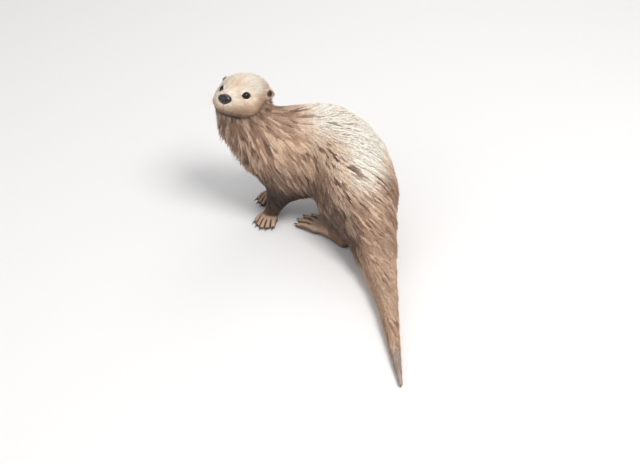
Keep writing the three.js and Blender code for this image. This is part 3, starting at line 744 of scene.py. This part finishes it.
def head_colours(colour, at, is_skin):
    """The pale mask, the tan cheeks, a dark line of painted shade under the jaw, the lids, lips and ears.
    """
    local = in_head(at["points"])
    x, y, z = local.T
    edge = z - np.interp(x, *JAW_EDGE)
    above = z - mouth_height(x)
    mask = np.clip(at["head"] + 0.6 * at["neck"], 0, 1) * smooth(x, -34, -16) * smooth(edge, -1.5, 1.5)
    wash = bump(np.hypot(x - 32, y * 0.8), 20) * smooth(z, 12, 24)
    cheek = smooth(edge, 32, 12) * smooth(np.abs(y), 6, 22)
    # painted shade along the crease under the jaw
    jaw_shade = bump(edge + 0.5, 2.6) * smooth(x, -16, -9) * np.clip(at["head"] + at["neck"], 0, 1)
    cleft = bump(y, 0.8) * smooth(x, 50, 54) * smooth(above, 0, 1) * smooth(z, -4, -7)
    colour = painted(
        colour,
        (UMBER, 0.45 * smooth(x, -16, -30) * at["neck"]),
        (BUFF, mask),
        (CREAM, 0.85 * mask * smooth(z, 4, 22)),
        (CREAM, 0.65 * mask * smooth(x, 38, 52) * smooth(edge, 10, 18)),
        (BUFF, 0.75 * mask * wash),
        (TAN, 0.85 * mask * cheek),
        (BROWN, 0.60 * mask * smooth(edge, 14, 5)),
        (UMBER, 0.75 * mask * smooth(above, -0.5, -2.5) * smooth(x, 6, 14)),
        (TAN, 0.05 * mask * smooth(0.30 - at["fine"], -0.1, 0.1)),
        # painted shade under the jaw
        (DARK, 0.90 * jaw_shade),
        (UMBER, 0.75 * bump(above, 0.9) * smooth(x, 12, 18) * at["head"]),
        (BROWN, 0.5 * cleft),
    )
    for side in (1, -1):
        ear, in_cup = in_ear(local, side)
        near = norm(ear) < 1.9
        far, round_eye, _, faces = lids(local, side)
        colour = painted(
            colour,
            (TAN, 0.7 * at["ears"] * near),
            (CREAM, 0.8 * at["ears"] * bump(in_cup - 1.22, 0.32)),
            (EAR_DARK, 0.95 * smooth(in_cup, 1.05, 0.60) * smooth(ear[:, 0], -0.65, -0.40) * near),
            (CREAM, 0.7 * faces * bump(round_eye - 1.60, 0.35)),
            (NEAR_BLACK, faces * smooth(round_eye, 1.16, 1.06) * smooth(far, 10.8, 9.6) * is_skin),
        )
    return colour


def coat_colours(at, is_skin):
    """The colour at each point, with its painted highlight and shade, from its place, its normal, its
    shares of the parts and the patterns.
    """
    return head_colours(limb_colours(body_colours(at), at), at, is_skin)


# ---- tufts
LONG_TUFTS = 112_000
SHORT_TUFTS = 44_000
PIECE_TUFTS = 17_500  # long tufts in one piece of the coat
LOCKS = 2_700
LOCK_STRETCH = 5.0  # a lock's length, in its widths
LOCK_HALF = 0.0025
LOCK_PULL = 0.75  # how far tips move to the middle of their lock, as a share of the way
BEND_AT = 0.45  # of a tuft's length
BEND_RISE = 0.60  # of the tip's height
ROOT_SUNK = 0.0008
FLOOR_GAP = 0.0003
PATCH = 0.0015  # half the width of a tuft's patch on the unwrap
NAPE_AT = 0.180  # from the nose, over the skin
RISE_RANGE = (0.0006, 0.009)
TAIL_TIP_RISE = 0.0007
BEHIND_EARS_LENGTH = 0.019

# points of a long tuft: -side, +side and up at the root, the same at the bend, and the tip
LONG_FACES = [(0, 2, 1), (0, 1, 4), (0, 4, 3), (1, 2, 5), (1, 5, 4), (2, 0, 3), (2, 3, 5)]
LONG_FACES += [(3, 4, 6), (4, 5, 6), (5, 3, 6)]
LONG_SPOTS = [(-1, -1), (1, -1), (0, -0.6), (-1, 0.1), (1, 0.1), (0, 0.4), (0, 1)]  # on its patch
# brightness at each point of a long tuft: painted shade at the root, deep in the coat, and lighter at the
# tip
LONG_SHADES = [0.62, 0.62, 0.66, 0.94, 0.94, 1.0, 1.14]
# a short tuft has no bend
SHORT_FACES = [(0, 2, 1), (0, 1, 3), (1, 2, 3), (2, 0, 3)]
SHORT_SPOTS = [(-1, -1), (1, -1), (0, -0.5), (0, 1)]
# painted shade at a short tuft's root, and lighter at its tip
SHORT_SHADES = [0.80, 0.80, 0.85, 1.12]
RING = [(-1.0, 0.0), (1.0, 0.0), (0.0, 0.8)]  # across and up


def between_corners(values, corners):
    """Values inside faces, from those at their corners and the shares of the corners."""
    return np.einsum("nc,nc...->n...", corners, values)


def scattered(surface, weights, count, rng):
    """Places on the surface, as faces and the shares of their corners."""
    area = norm(surface.face_normals())
    chance = np.cumsum(area * weights[surface.triangles].mean(1))
    picks = (np.arange(count) + rng.random(count)) / count * chance[-1]
    faces = np.minimum(np.searchsorted(chance, picks), len(area) - 1)
    u, v = rng.random((2, count))
    over = u + v > 1
    u, v = np.where(over, 1 - u, u), np.where(over, 1 - v, v)
    return faces, np.stack([1 - u - v, u, v], 1)


def settled(points, heights, ground):
    """Points moved to their heights over the skin, with the skin's normals there."""
    found = [ground["tree"].find_nearest(point) for point in points.tolist()]
    places = np.array([place for place, _, _, _ in found])
    faces = [face for _, _, face, _ in found]
    out = unit(ground["normals"][ground["surface"].triangles[faces]].mean(1))
    return places + out * heights[:, None], out


def lock_guides(rng, surface, weights):
    """Places that the coat gathers round, with their own random tone."""
    faces, corners = scattered(surface, weights, LOCKS, rng)
    places = between_corners(surface.points[surface.triangles[faces]], corners)
    tree = KDTree(LOCKS)
    for i, place in enumerate(places.tolist()):
        tree.insert(place, i)
    tree.balance()
    return {"places": places, "tree": tree, "tones": rng.random(LOCKS)}


def in_locks(guides, points, lie, side):
    """The tone of the lock that each point belongs to, and how far it lies across the lock."""
    near = np.array([[found[1] for found in guides["tree"].find_n(point, 10)] for point in points.tolist()])
    offset = points[:, None] - guides["places"][near]
    along = (offset * lie[:, None]).sum(2) / LOCK_STRETCH
    across = (offset * side[:, None]).sum(2)
    best = (np.arange(len(points)), (along**2 + across**2).argmin(1))
    return guides["tones"][near[best]], across[best]


def tuft_arrays(rng, ground, field, faces, corners, is_long):
    """The points, normals, colours and patches of tufts at some places of the skin."""
    triangles = ground["surface"].triangles[faces]
    at = {key: between_corners(values[triangles], corners) for key, values in field.items()}
    count = len(faces)
    root = at["points"]
    normal = at["normals"] = unit(at["normals"])
    lie = along_surface(at["lie"], normal)
    side = np.cross(normal, lie)
    pull = np.zeros(count)
    lift = np.ones(count)
    length = at["length"] * rng.uniform(0.75, 1.2, count)
    if is_long:
        at["fine"], across = in_locks(ground["guides"], root, lie, side)
        pull = -LOCK_PULL * np.clip(across, -2 * LOCK_HALF, 2 * LOCK_HALF)
        lift = mix(1.05, 0.55, np.clip(np.abs(across) / LOCK_HALF, 0, 1)) * mix(0.75, 1.15, at["fine"])
    lie = unit(lie + side * (at["spread"] * rng.normal(size=count))[:, None])
    side = np.cross(normal, lie)
    width = at["width"] * rng.uniform(0.7, 1.3, count)
    rise = at["rise"] * lift * rng.uniform(0.75, 1.15, count)
    rise *= 1 + 2.0 * at["shag"] * rng.random(count) ** 3
    tip, tip_normal = settled(root + lie * length[:, None] + side * pull[:, None], rise, ground)
    if is_long:
        bend = root + lie * (BEND_AT * length)[:, None] + side * (0.35 * pull)[:, None]
        bend, bend_normal = settled(bend, BEND_RISE * rise, ground)
        rings = [(root - normal * ROOT_SUNK, normal, 0.6), (bend, bend_normal, 1.0)]
    else:
        rings = [(root - normal * ROOT_SUNK * 0.3, normal, 1.0)]
    points = []
    outs = []
    for centre, out, share in rings:
        half = (share * width / 2)[:, None]
        for across, up in RING:
            points.append(centre + side * half * across + out * half * up)
            outs.append(unit(1.3 * out + side * across * 0.9))
    points.append(tip)
    outs.append(tip_normal)
    points = np.stack(points, 1)
    points[..., 2] = np.maximum(points[..., 2], FLOOR_GAP)

    tones = rng.normal(1.0, 0.09, (count, 1)) * mix(0.90, 1.08, at["fine"])[:, None]
    # each tuft gets painted shade at its root and is lighter at its tip
    shades = np.array(LONG_SHADES if is_long else SHORT_SHADES)
    colours = (coat_colours(at, is_skin=False) * tones)[:, None] * shades[:, None]
    place = between_corners(ground["unwrap"][faces], corners)
    patches = place[:, None] + PATCH * np.array(LONG_SPOTS if is_long else SHORT_SPOTS)
    return points, np.stack(outs, 1), np.clip(colours, 0, 1), patches


def coat_piece(name, arrays, face_list, slot):
    points, outs, colours, patches = arrays
    count, each = points.shape[:2]
    triangles = (np.arange(count)[:, None, None] * each + np.array(face_list)).reshape(-1, 3)
    mesh = mesh_of(name, points.reshape(-1, 3), triangles)
    mesh.normals_split_custom_set_from_vertices(outs.reshape(-1, 3).tolist())
    layer = mesh.uv_layers.new(name="OFBake")
    layer.data.foreach_set("uv", patches.reshape(-1, 2)[triangles.ravel()].astype(np.float32).ravel())
    coloured_piece(name, mesh, colours.reshape(-1, 3), coat_look, slot)


# ---- materials
def shader(name, **inputs):
    """A material and its principled node, with inputs named with _ for each space."""
    material = bpy.data.materials.new(name)
    material.use_nodes = True
    principled = material.node_tree.nodes["Principled BSDF"]
    for key, value in inputs.items():
        principled.inputs[key.replace("_", " ")].default_value = value
    return material, principled


def painted_material(name, roughness, tones, bumps, **inputs):
    """A material of the piece's own colours, with a grain and a bump. Tones are grains per metre and the
    least and most of the colour. Bumps are bumps per metre, their strength and their depth."""
    material, principled = shader(name, Roughness=roughness, **inputs)
    tree = material.node_tree

    def node(kind, **values):
        made = tree.nodes.new(kind)
        for key, value in values.items():
            socket = made.inputs[key.replace("_", " ")]
            if isinstance(value, bpy.types.NodeSocket):
                tree.links.new(value, socket)
            else:
                socket.default_value = value
        return made

    place = node("ShaderNodeTexCoord").outputs["Object"]
    grain = node("ShaderNodeTexNoise", Vector=place, Scale=tones[0], Detail=2.0).outputs["Fac"]
    tone = node("ShaderNodeMapRange", Value=grain, To_Min=tones[1], To_Max=tones[2]).outputs["Result"]
    attribute = node("ShaderNodeAttribute")
    attribute.attribute_name = "coat"
    scaled = node("ShaderNodeVectorMath")
    scaled.operation = "SCALE"
    tree.links.new(attribute.outputs["Color"], scaled.inputs["Vector"])
    tree.links.new(tone, scaled.inputs["Scale"])
    tree.links.new(scaled.outputs["Vector"], principled.inputs["Base Color"])
    height = node("ShaderNodeTexNoise", Vector=place, Scale=bumps[0], Detail=3.0).outputs["Fac"]
    uneven = node("ShaderNodeBump", Height=height, Strength=bumps[1], Distance=bumps[2])
    tree.links.new(uneven.outputs["Normal"], principled.inputs["Normal"])
    return material


coat_look = painted_material("coat", 0.62, (260, 0.80, 1.20), (2400, 0.25, 0.0002), Specular_IOR_Level=0.30)
skin_look = painted_material("skin", 0.70, (260, 0.80, 1.20), (1500, 0.45, 0.0005), Specular_IOR_Level=0.25)


# ---- skin and coat, made
def unwrapped(mesh):
    """Gives the skin its own unwrap, and returns it per face and corner."""
    mesh.uv_layers.new(name="OFBake")
    piece = linked("working", mesh)
    bpy.context.view_layer.objects.active = piece
    piece.select_set(True)
    bpy.ops.object.mode_set(mode="EDIT")
    bpy.ops.mesh.select_all(action="SELECT")
    bpy.ops.uv.smart_project(angle_limit=math.radians(66), island_margin=0.004)
    bpy.ops.object.mode_set(mode="OBJECT")
    bpy.data.objects.remove(piece)
    loops = np.empty(len(mesh.loops) * 2, np.float32)
    mesh.uv_layers["OFBake"].data.foreach_get("uv", loops)
    return loops.reshape(-1, 3, 2).astype(float)


rng = np.random.default_rng(SEED)
head, ears, neck, body, tail, legs, paws = (shares[part] for part in PARTS)
normals = skin.normals()
reach = reach_from(skin, int(np.argmin(norm(skin.points - from_head(NOSE_AT)))))
droop = (0.40 * body + 0.55 * neck) * smooth(reach, 0.38, 0.26)
lie = lie_of_coat(skin, reach, normals, droop)
long_share = body + neck + 1.4 * tail + 1.8 * legs
in_long = np.clip(long_share, 0, 1)
guides = lock_guides(rng, skin, in_long)
lock_tone, _ = in_locks(guides, skin.points, lie, np.cross(normals, lie))
fine = mix(evened(skin, combed(skin, rng.random(skin.count), lie, 26), 40), lock_tone, in_long)
broad = evened(skin, combed(skin, skin.blurred(rng.random(skin.count), 3), lie, 60), 80)
# how hollow the skin is at each point, which sets the paws' painted shade and highlight
hollow = skin.blurred(((skin.around(skin.points) - skin.points) * normals).sum(1), 2)

mesh = mesh_of("skin", skin.points, skin.triangles)
unwrap = unwrapped(mesh)
at_skin = {"points": skin.points, "normals": normals, "reach": reach, **shares}
at_skin |= {"fine": fine, "broad": broad, "hollow": hollow}
# painted shade on the skin, darker where the coat lies over it
shaded_by_coat = body + neck + 0.6 * (tail + legs)
colours = coat_colours(at_skin, is_skin=True) * mix(0.95, 0.72, shaded_by_coat)[:, None]
coloured_piece("skin", mesh, np.clip(colours, 0, 1), skin_look, "back_fur", *FLESH)

# where the coat is longer, higher or denser
head_local = in_head(skin.points)
x, _, z = head_local.T
muzzle = smooth(x, 22, 46) * head
ruff = smooth(x, 10, -12) * head
crown = smooth(z, 14, 26) * smooth(x, 40, 20) * head
behind_ears = window(-x, 12, 24, 34, 52) * smooth(z, -25, -5) * (head + neck)
nape = bump(reach - NAPE_AT, 0.045) * smooth(normals[:, 2], 0.0, 0.5)
tail_end = (reach * tail).max()
at_tip = smooth(reach, tail_end - 0.075, tail_end - 0.015) * tail

# where none may grow: on the eyes, on the nose and under the paws
clear = smooth(norm((head_local - NOSE_AT) / NOSE_SIZE), 1.02, 1.15)
clear *= 1 - smooth(-normals[:, 2], 0.5, 0.8) * smooth(skin.points[:, 2], 0.005, 0.002)
_, length, width = coat_sizes(shares)
length *= (1 - 0.45 * muzzle) * (1 + 0.5 * ruff)
for side in (1, -1):
    far, round_eye, _, faces = lids(head_local, side)
    near_eye = faces * smooth(far, 15, 11)
    bare_to = 1.11 + 0.17 * smooth(x, EYES_MIDDLE[0] - 3, EYES_MIDDLE[0] + 5)
    clear *= 1 - near_eye * smooth(round_eye, bare_to + 0.10, bare_to)
    length *= mix(1, mix(0.30, 1, smooth(round_eye, 1.1, 2.2)), near_eye)

outline_gap = np.array([outline_tree.find_nearest(point)[3] for point in skin.points.tolist()])
rise = mix(np.clip(outline_gap, *RISE_RANGE) + 0.0010 * crown, RISE_RANGE[1], behind_ears)
soft_normals = skin.blurred(normals, 3)
ground = {"surface": skin, "tree": skin.tree(), "normals": soft_normals, "unwrap": unwrap, "guides": guides}
field = at_skin | {
    "normals": soft_normals,
    "lie": lie,
    "length": mix(length, BEHIND_EARS_LENGTH, behind_ears) * (1 + 0.25 * nape),
    "width": width,
    "spread": 0.09 + 0.06 * head,
    "rise": mix(rise * (1 - 0.45 * nape), TAIL_TIP_RISE, at_tip),
    "shag": neck * smooth(-normals[:, 2], -0.3, 0.4),
}
long_share = (long_share + 0.9 * behind_ears * head) * (1 + 1.3 * nape)
short_share = head * (1 + 0.8 * muzzle) + 2.2 * ears + 1.2 * paws
for kind, share, count, piece_count, face_list, slot in (
    ("coat", long_share, LONG_TUFTS, PIECE_TUFTS, LONG_FACES, "back_fur"),
    ("short_coat", short_share, SHORT_TUFTS, SHORT_TUFTS, SHORT_FACES, "head_fur"),
):
    faces, corners = scattered(skin, share * clear, count, rng)
    order = np.argsort(reach[skin.triangles[faces, 0]])
    arrays = tuft_arrays(rng, ground, field, faces[order], corners[order], face_list is LONG_FACES)
    for n, begin in enumerate(range(0, count, piece_count)):
        part = [array[begin : begin + piece_count] for array in arrays]
        coat_piece(f"{kind}_{n + 1}", part, face_list, slot)


# ---- eyes, nose, claws and whiskers
def round_shape(start, centres, radii, across, up, sides, end):
    """A closed shape of a point, rings round some centres, and another point."""
    turns = 2 * math.pi * np.arange(sides)[:, None] / sides
    circle = np.cos(turns) * across + np.sin(turns) * up
    rings = centres[:, None] + radii[:, None, None] * circle
    points = np.concatenate([[start], rings.reshape(-1, 3), [end]])
    ring = 1 + np.arange(len(centres) * sides).reshape(-1, sides)
    after = np.roll(ring, -1, 1)
    strips = [(0 * ring[0], ring[0], after[0]), (0 * ring[0] + len(points) - 1, after[-1], ring[-1])]
    for a, b, c, d in zip(ring, ring[1:], after[1:], after):
        strips += [(a, b, c), (a, c, d)]
    triangles = np.concatenate([np.stack(strip, 1) for strip in strips])
    a, b, c = (points[triangles[:, k]] for k in range(3))
    is_inside_out = (np.cross(a, b) * c).sum() < 0
    return points, triangles[:, ::-1] if is_inside_out else triangles


def unit_ball(rings, sides):
    """A closed ball of radius 1 whose pole is the first axis."""
    polar = math.pi * np.arange(1, rings) / rings
    pole = np.array([1.0, 0.0, 0.0])
    centres = np.cos(polar)[:, None] * pole
    return round_shape(pole, centres, np.sin(polar), [0, 1, 0], [0, 0, 1], sides, -pole)


CORNEA = 0.05  # how far the cornea stands out, as a share of the eyeball's radius
EYE_BLACK = linear(16, 12, 11)
IRIS = linear(26, 17, 12)
PUPIL = linear(8, 7, 7)
eye_look = painted_material("eye", 0.05, (1800, 0.75, 1.25), (900, 0.02, 0.0001), Specular_IOR_Level=0.35)
ball, ball_faces = unit_ball(48, 64)
out = ball[:, 0]
shape = ball * EYE_BALL * (1 + CORNEA * smooth(out, 0.78, 0.95))[:, None]
colours = painted(
    np.broadcast_to(EYE_BLACK, ball.shape),
    (IRIS, smooth(out, 0.74, 0.80)),
    (PUPIL, smooth(out, 0.93, 0.95)),
)
for side, name, eye_node in zip((1, -1), ("left_eyeball", "right_eyeball"), EYES):
    centre, axes = eye_frame(side)
    placed = from_head(centre + shape @ (axes * [[1], [1], [side]]))
    mesh = mesh_of(name, placed, ball_faces)
    coloured_piece(name, mesh, colours, eye_look, "eye", eye_node)


def nose_shape(ball):
    """The nose pad in the head's units, and how deep its points are in the nostrils and the cleft, which
    sets their painted shade.
    """
    x, y, z = ball.T
    shape = ball * NOSE_SIZE
    shape[:, 1] *= 1 - 0.30 * smooth(-z, 0.0, 0.9) - 0.10 * smooth(z, 0.55, 1.0)
    shape[:, 2] *= 1 - 0.10 * smooth(z, 0.5, 1.0)
    across = np.abs(shape[:, 1])
    up = shape[:, 2]
    front = smooth(x, 0.0, 0.5)
    pit = bump(across - 5.0, 2.1) * bump(up + 1.4 - 0.25 * (across - 5), 2.1)
    slit = bump(across - 8.2, 2.4) * bump(up + 0.4, 0.9)
    cleft = bump(shape[:, 1], 0.55) * smooth(-up, -1.0, 1.5)
    roll = bump(across - 5.2, 4.0) * bump(up - 2.2, 2.0)
    shape[:, 0] += front * (0.5 * roll - 2.9 * pit - 1.3 * slit - 0.9 * cleft)
    return shape, np.clip(front * (pit + 0.7 * slit + 0.5 * cleft), 0, 1)


NOSE_BLACK = linear(34, 29, 29)
NOSTRIL_SHADE = linear(10, 8, 8)
ball, ball_faces = unit_ball(96, 128)
shape, deep = nose_shape(ball)
wet = {"Coat_Weight": 0.35, "Coat_Roughness": 0.25}
nose_look = painted_material("nose", 0.34, (700, 0.80, 1.25), (2200, 0.30, 0.0003), **wet)
# painted shade in the nostrils and the cleft
colours = painted(np.broadcast_to(NOSE_BLACK, ball.shape), (NOSTRIL_SHADE, deep))
mesh = mesh_of("nose_pad", from_head(NOSE_AT + shape), ball_faces)
coloured_piece("nose_pad", mesh, colours, nose_look, "nose_skin", "nose")

CLAW_RINGS = 8
CLAW_SIDES = 12
CLAW_WIDTH = 0.72  # of its height
CLAW_TAPER = 0.65
CLAW_HOOK = 0.096  # how far its middle arches up over its tip, as a share of its length
HORN = linear(70, 54, 44)
HORN_TIP = linear(150, 126, 102)


def claw_arrays(name):
    """A claw of the solid's place and length: round, tapered, and hooked at its tip."""
    points, _ = node_arrays(name)
    paw = centre_of(name[: name.index("_claw")] + "_paw")
    tip = points[np.argmax(norm(points - paw))]
    along = (points - tip) @ unit(tip - points.mean(0))
    back = along < along.min() * 0.75
    base = points[back].mean(0)
    radius = norm(points[back] - base).max() * 0.98
    axis = unit(tip - base)
    size = norm(tip - base)
    side = unit(np.cross(axis, [0, 0, 1]))
    up = np.cross(side, axis)
    t = np.arange(CLAW_RINGS) / CLAW_RINGS
    centres = base + axis * size * t[:, None] + up * size * CLAW_HOOK * np.sin(math.pi * t)[:, None]
    radii = radius * (1 - t) ** CLAW_TAPER
    root = base - axis * radius * 0.3
    points, triangles = round_shape(root, centres, radii, side * CLAW_WIDTH, up, CLAW_SIDES, tip)
    points[:, 2] = np.maximum(points[:, 2], 0.0002)
    share = np.concatenate([[0], np.repeat(t, CLAW_SIDES), [1]])
    return points, triangles, mix(HORN, HORN_TIP, smooth(share, 0.4, 1.0)[:, None])


claw_look = painted_material("claw", 0.32, (900, 0.80, 1.20), (1600, 0.15, 0.0002), Specular_IOR_Level=0.45)
points, triangles, colours = joined([claw_arrays(name) for name in CLAWS])
coloured_piece("claws", mesh_of("claws", points, triangles), colours, claw_look, "claw", *CLAWS)

WHISKERS = 9  # on each side, in rows of three
WHISKER_LENGTH = 0.030
WHISKER_RADIUS = 0.00013
WHISKER_STEPS = 7
WHISKER_SAG = 0.004
WHISKER_SUNK = 0.0008
STRAW = linear(206, 184, 156)


def whisker_arrays(side, n):
    """A whisker that leaves the lip outwards, then turns back and down."""
    row, column = divmod(n, 3)
    guess = from_head(mirrored(np.array([54 - 4.5 * column, 24, -6.0 - 3.6 * row]), side))
    root, out, _, _ = ground["tree"].find_nearest(guess.tolist())
    root, out = np.array(root), np.array(out)
    back = mirrored(np.array([-0.75, 0.55, -0.10 - 0.22 * row]), side) @ HEAD_AXES
    length = WHISKER_LENGTH * (1.10 - 0.10 * row - 0.08 * column)
    t = np.arange(WHISKER_STEPS + 1)[:, None] / WHISKER_STEPS
    path = root + length * (0.55 * t * unit(out + 0.3 * back) + 0.75 * t * t * back)
    path[:, 2] -= WHISKER_SAG * t[:, 0] ** 2
    centres = path[:-1] - out * WHISKER_SUNK
    radii = WHISKER_RADIUS * (1 - 0.8 * t[:-1, 0])
    across = unit(np.cross(back, out))
    up = unit(np.cross(across, back))
    points, triangles = round_shape(centres[0], centres, radii, across, up, 3, path[-1])
    return points, triangles, np.broadcast_to(STRAW, points.shape)


whisker_look = painted_material("whisker", 0.45, (900, 0.85, 1.15), (1600, 0.05, 0.0001))
whiskers = [whisker_arrays(side, n) for side in (1, -1) for n in range(WHISKERS)]
points, triangles, colours = joined(whiskers)
coloured_piece("whiskers", mesh_of("whiskers", points, triangles), colours, whisker_look, "claw")


# ---- light, camera and floor
TARGET = Vector((0.0281, 0.0222, 0.0945))
CAMERA_RISE = math.radians(38)
CAMERA_FAR = 2.1
FLOOR_HALF = 8.0

camera = linked("camera", bpy.data.cameras.new("camera"))
camera.data.lens = 56.25
camera.data.sensor_width = 36
camera.location = TARGET + CAMERA_FAR * Vector((0, -math.cos(CAMERA_RISE), math.sin(CAMERA_RISE)))
camera.rotation_euler = (math.radians(90) - CAMERA_RISE, 0, 0)
bpy.context.scene.camera = camera


def soft_light(name, place, size, power, colour):
    lamp = linked(name, bpy.data.lights.new(name, "AREA"))
    lamp.data.size = size
    lamp.data.energy = power
    lamp.data.color = colour
    lamp.location = place
    lamp.rotation_euler = (TARGET - Vector(place)).to_track_quat("-Z", "Y").to_euler()


soft_light("key", (1.1, -1.0, 2.9), 1.3, 68, (1.0, 0.985, 0.965))
soft_light("fill", (-2.6, -1.6, 1.7), 2.2, 16, (0.95, 0.97, 1.0))
soft_light("rim", (0.6, 2.6, 2.2), 1.6, 14, (1.0, 0.98, 0.95))
world = bpy.data.worlds.new("world")
world.use_nodes = True
sky = world.node_tree.nodes["Background"].inputs
sky["Color"].default_value = (0.94, 0.95, 0.97, 1)
sky["Strength"].default_value = 0.58
bpy.context.scene.world = world
bpy.context.scene.view_settings.view_transform = "Standard"

corners = [(FLOOR_HALF * x, FLOOR_HALF * y, 0) for x, y in ((-1, -1), (1, -1), (1, 1), (-1, 1))]
floor_mesh = bpy.data.meshes.new("floor")
floor_mesh.from_pydata(corners, [], [(0, 1, 2, 3)])
floor_look, _ = shader("floor", Base_Color=(0.86, 0.85, 0.84, 1), Roughness=0.7)
floor = piece_of("floor", floor_mesh, floor_look)
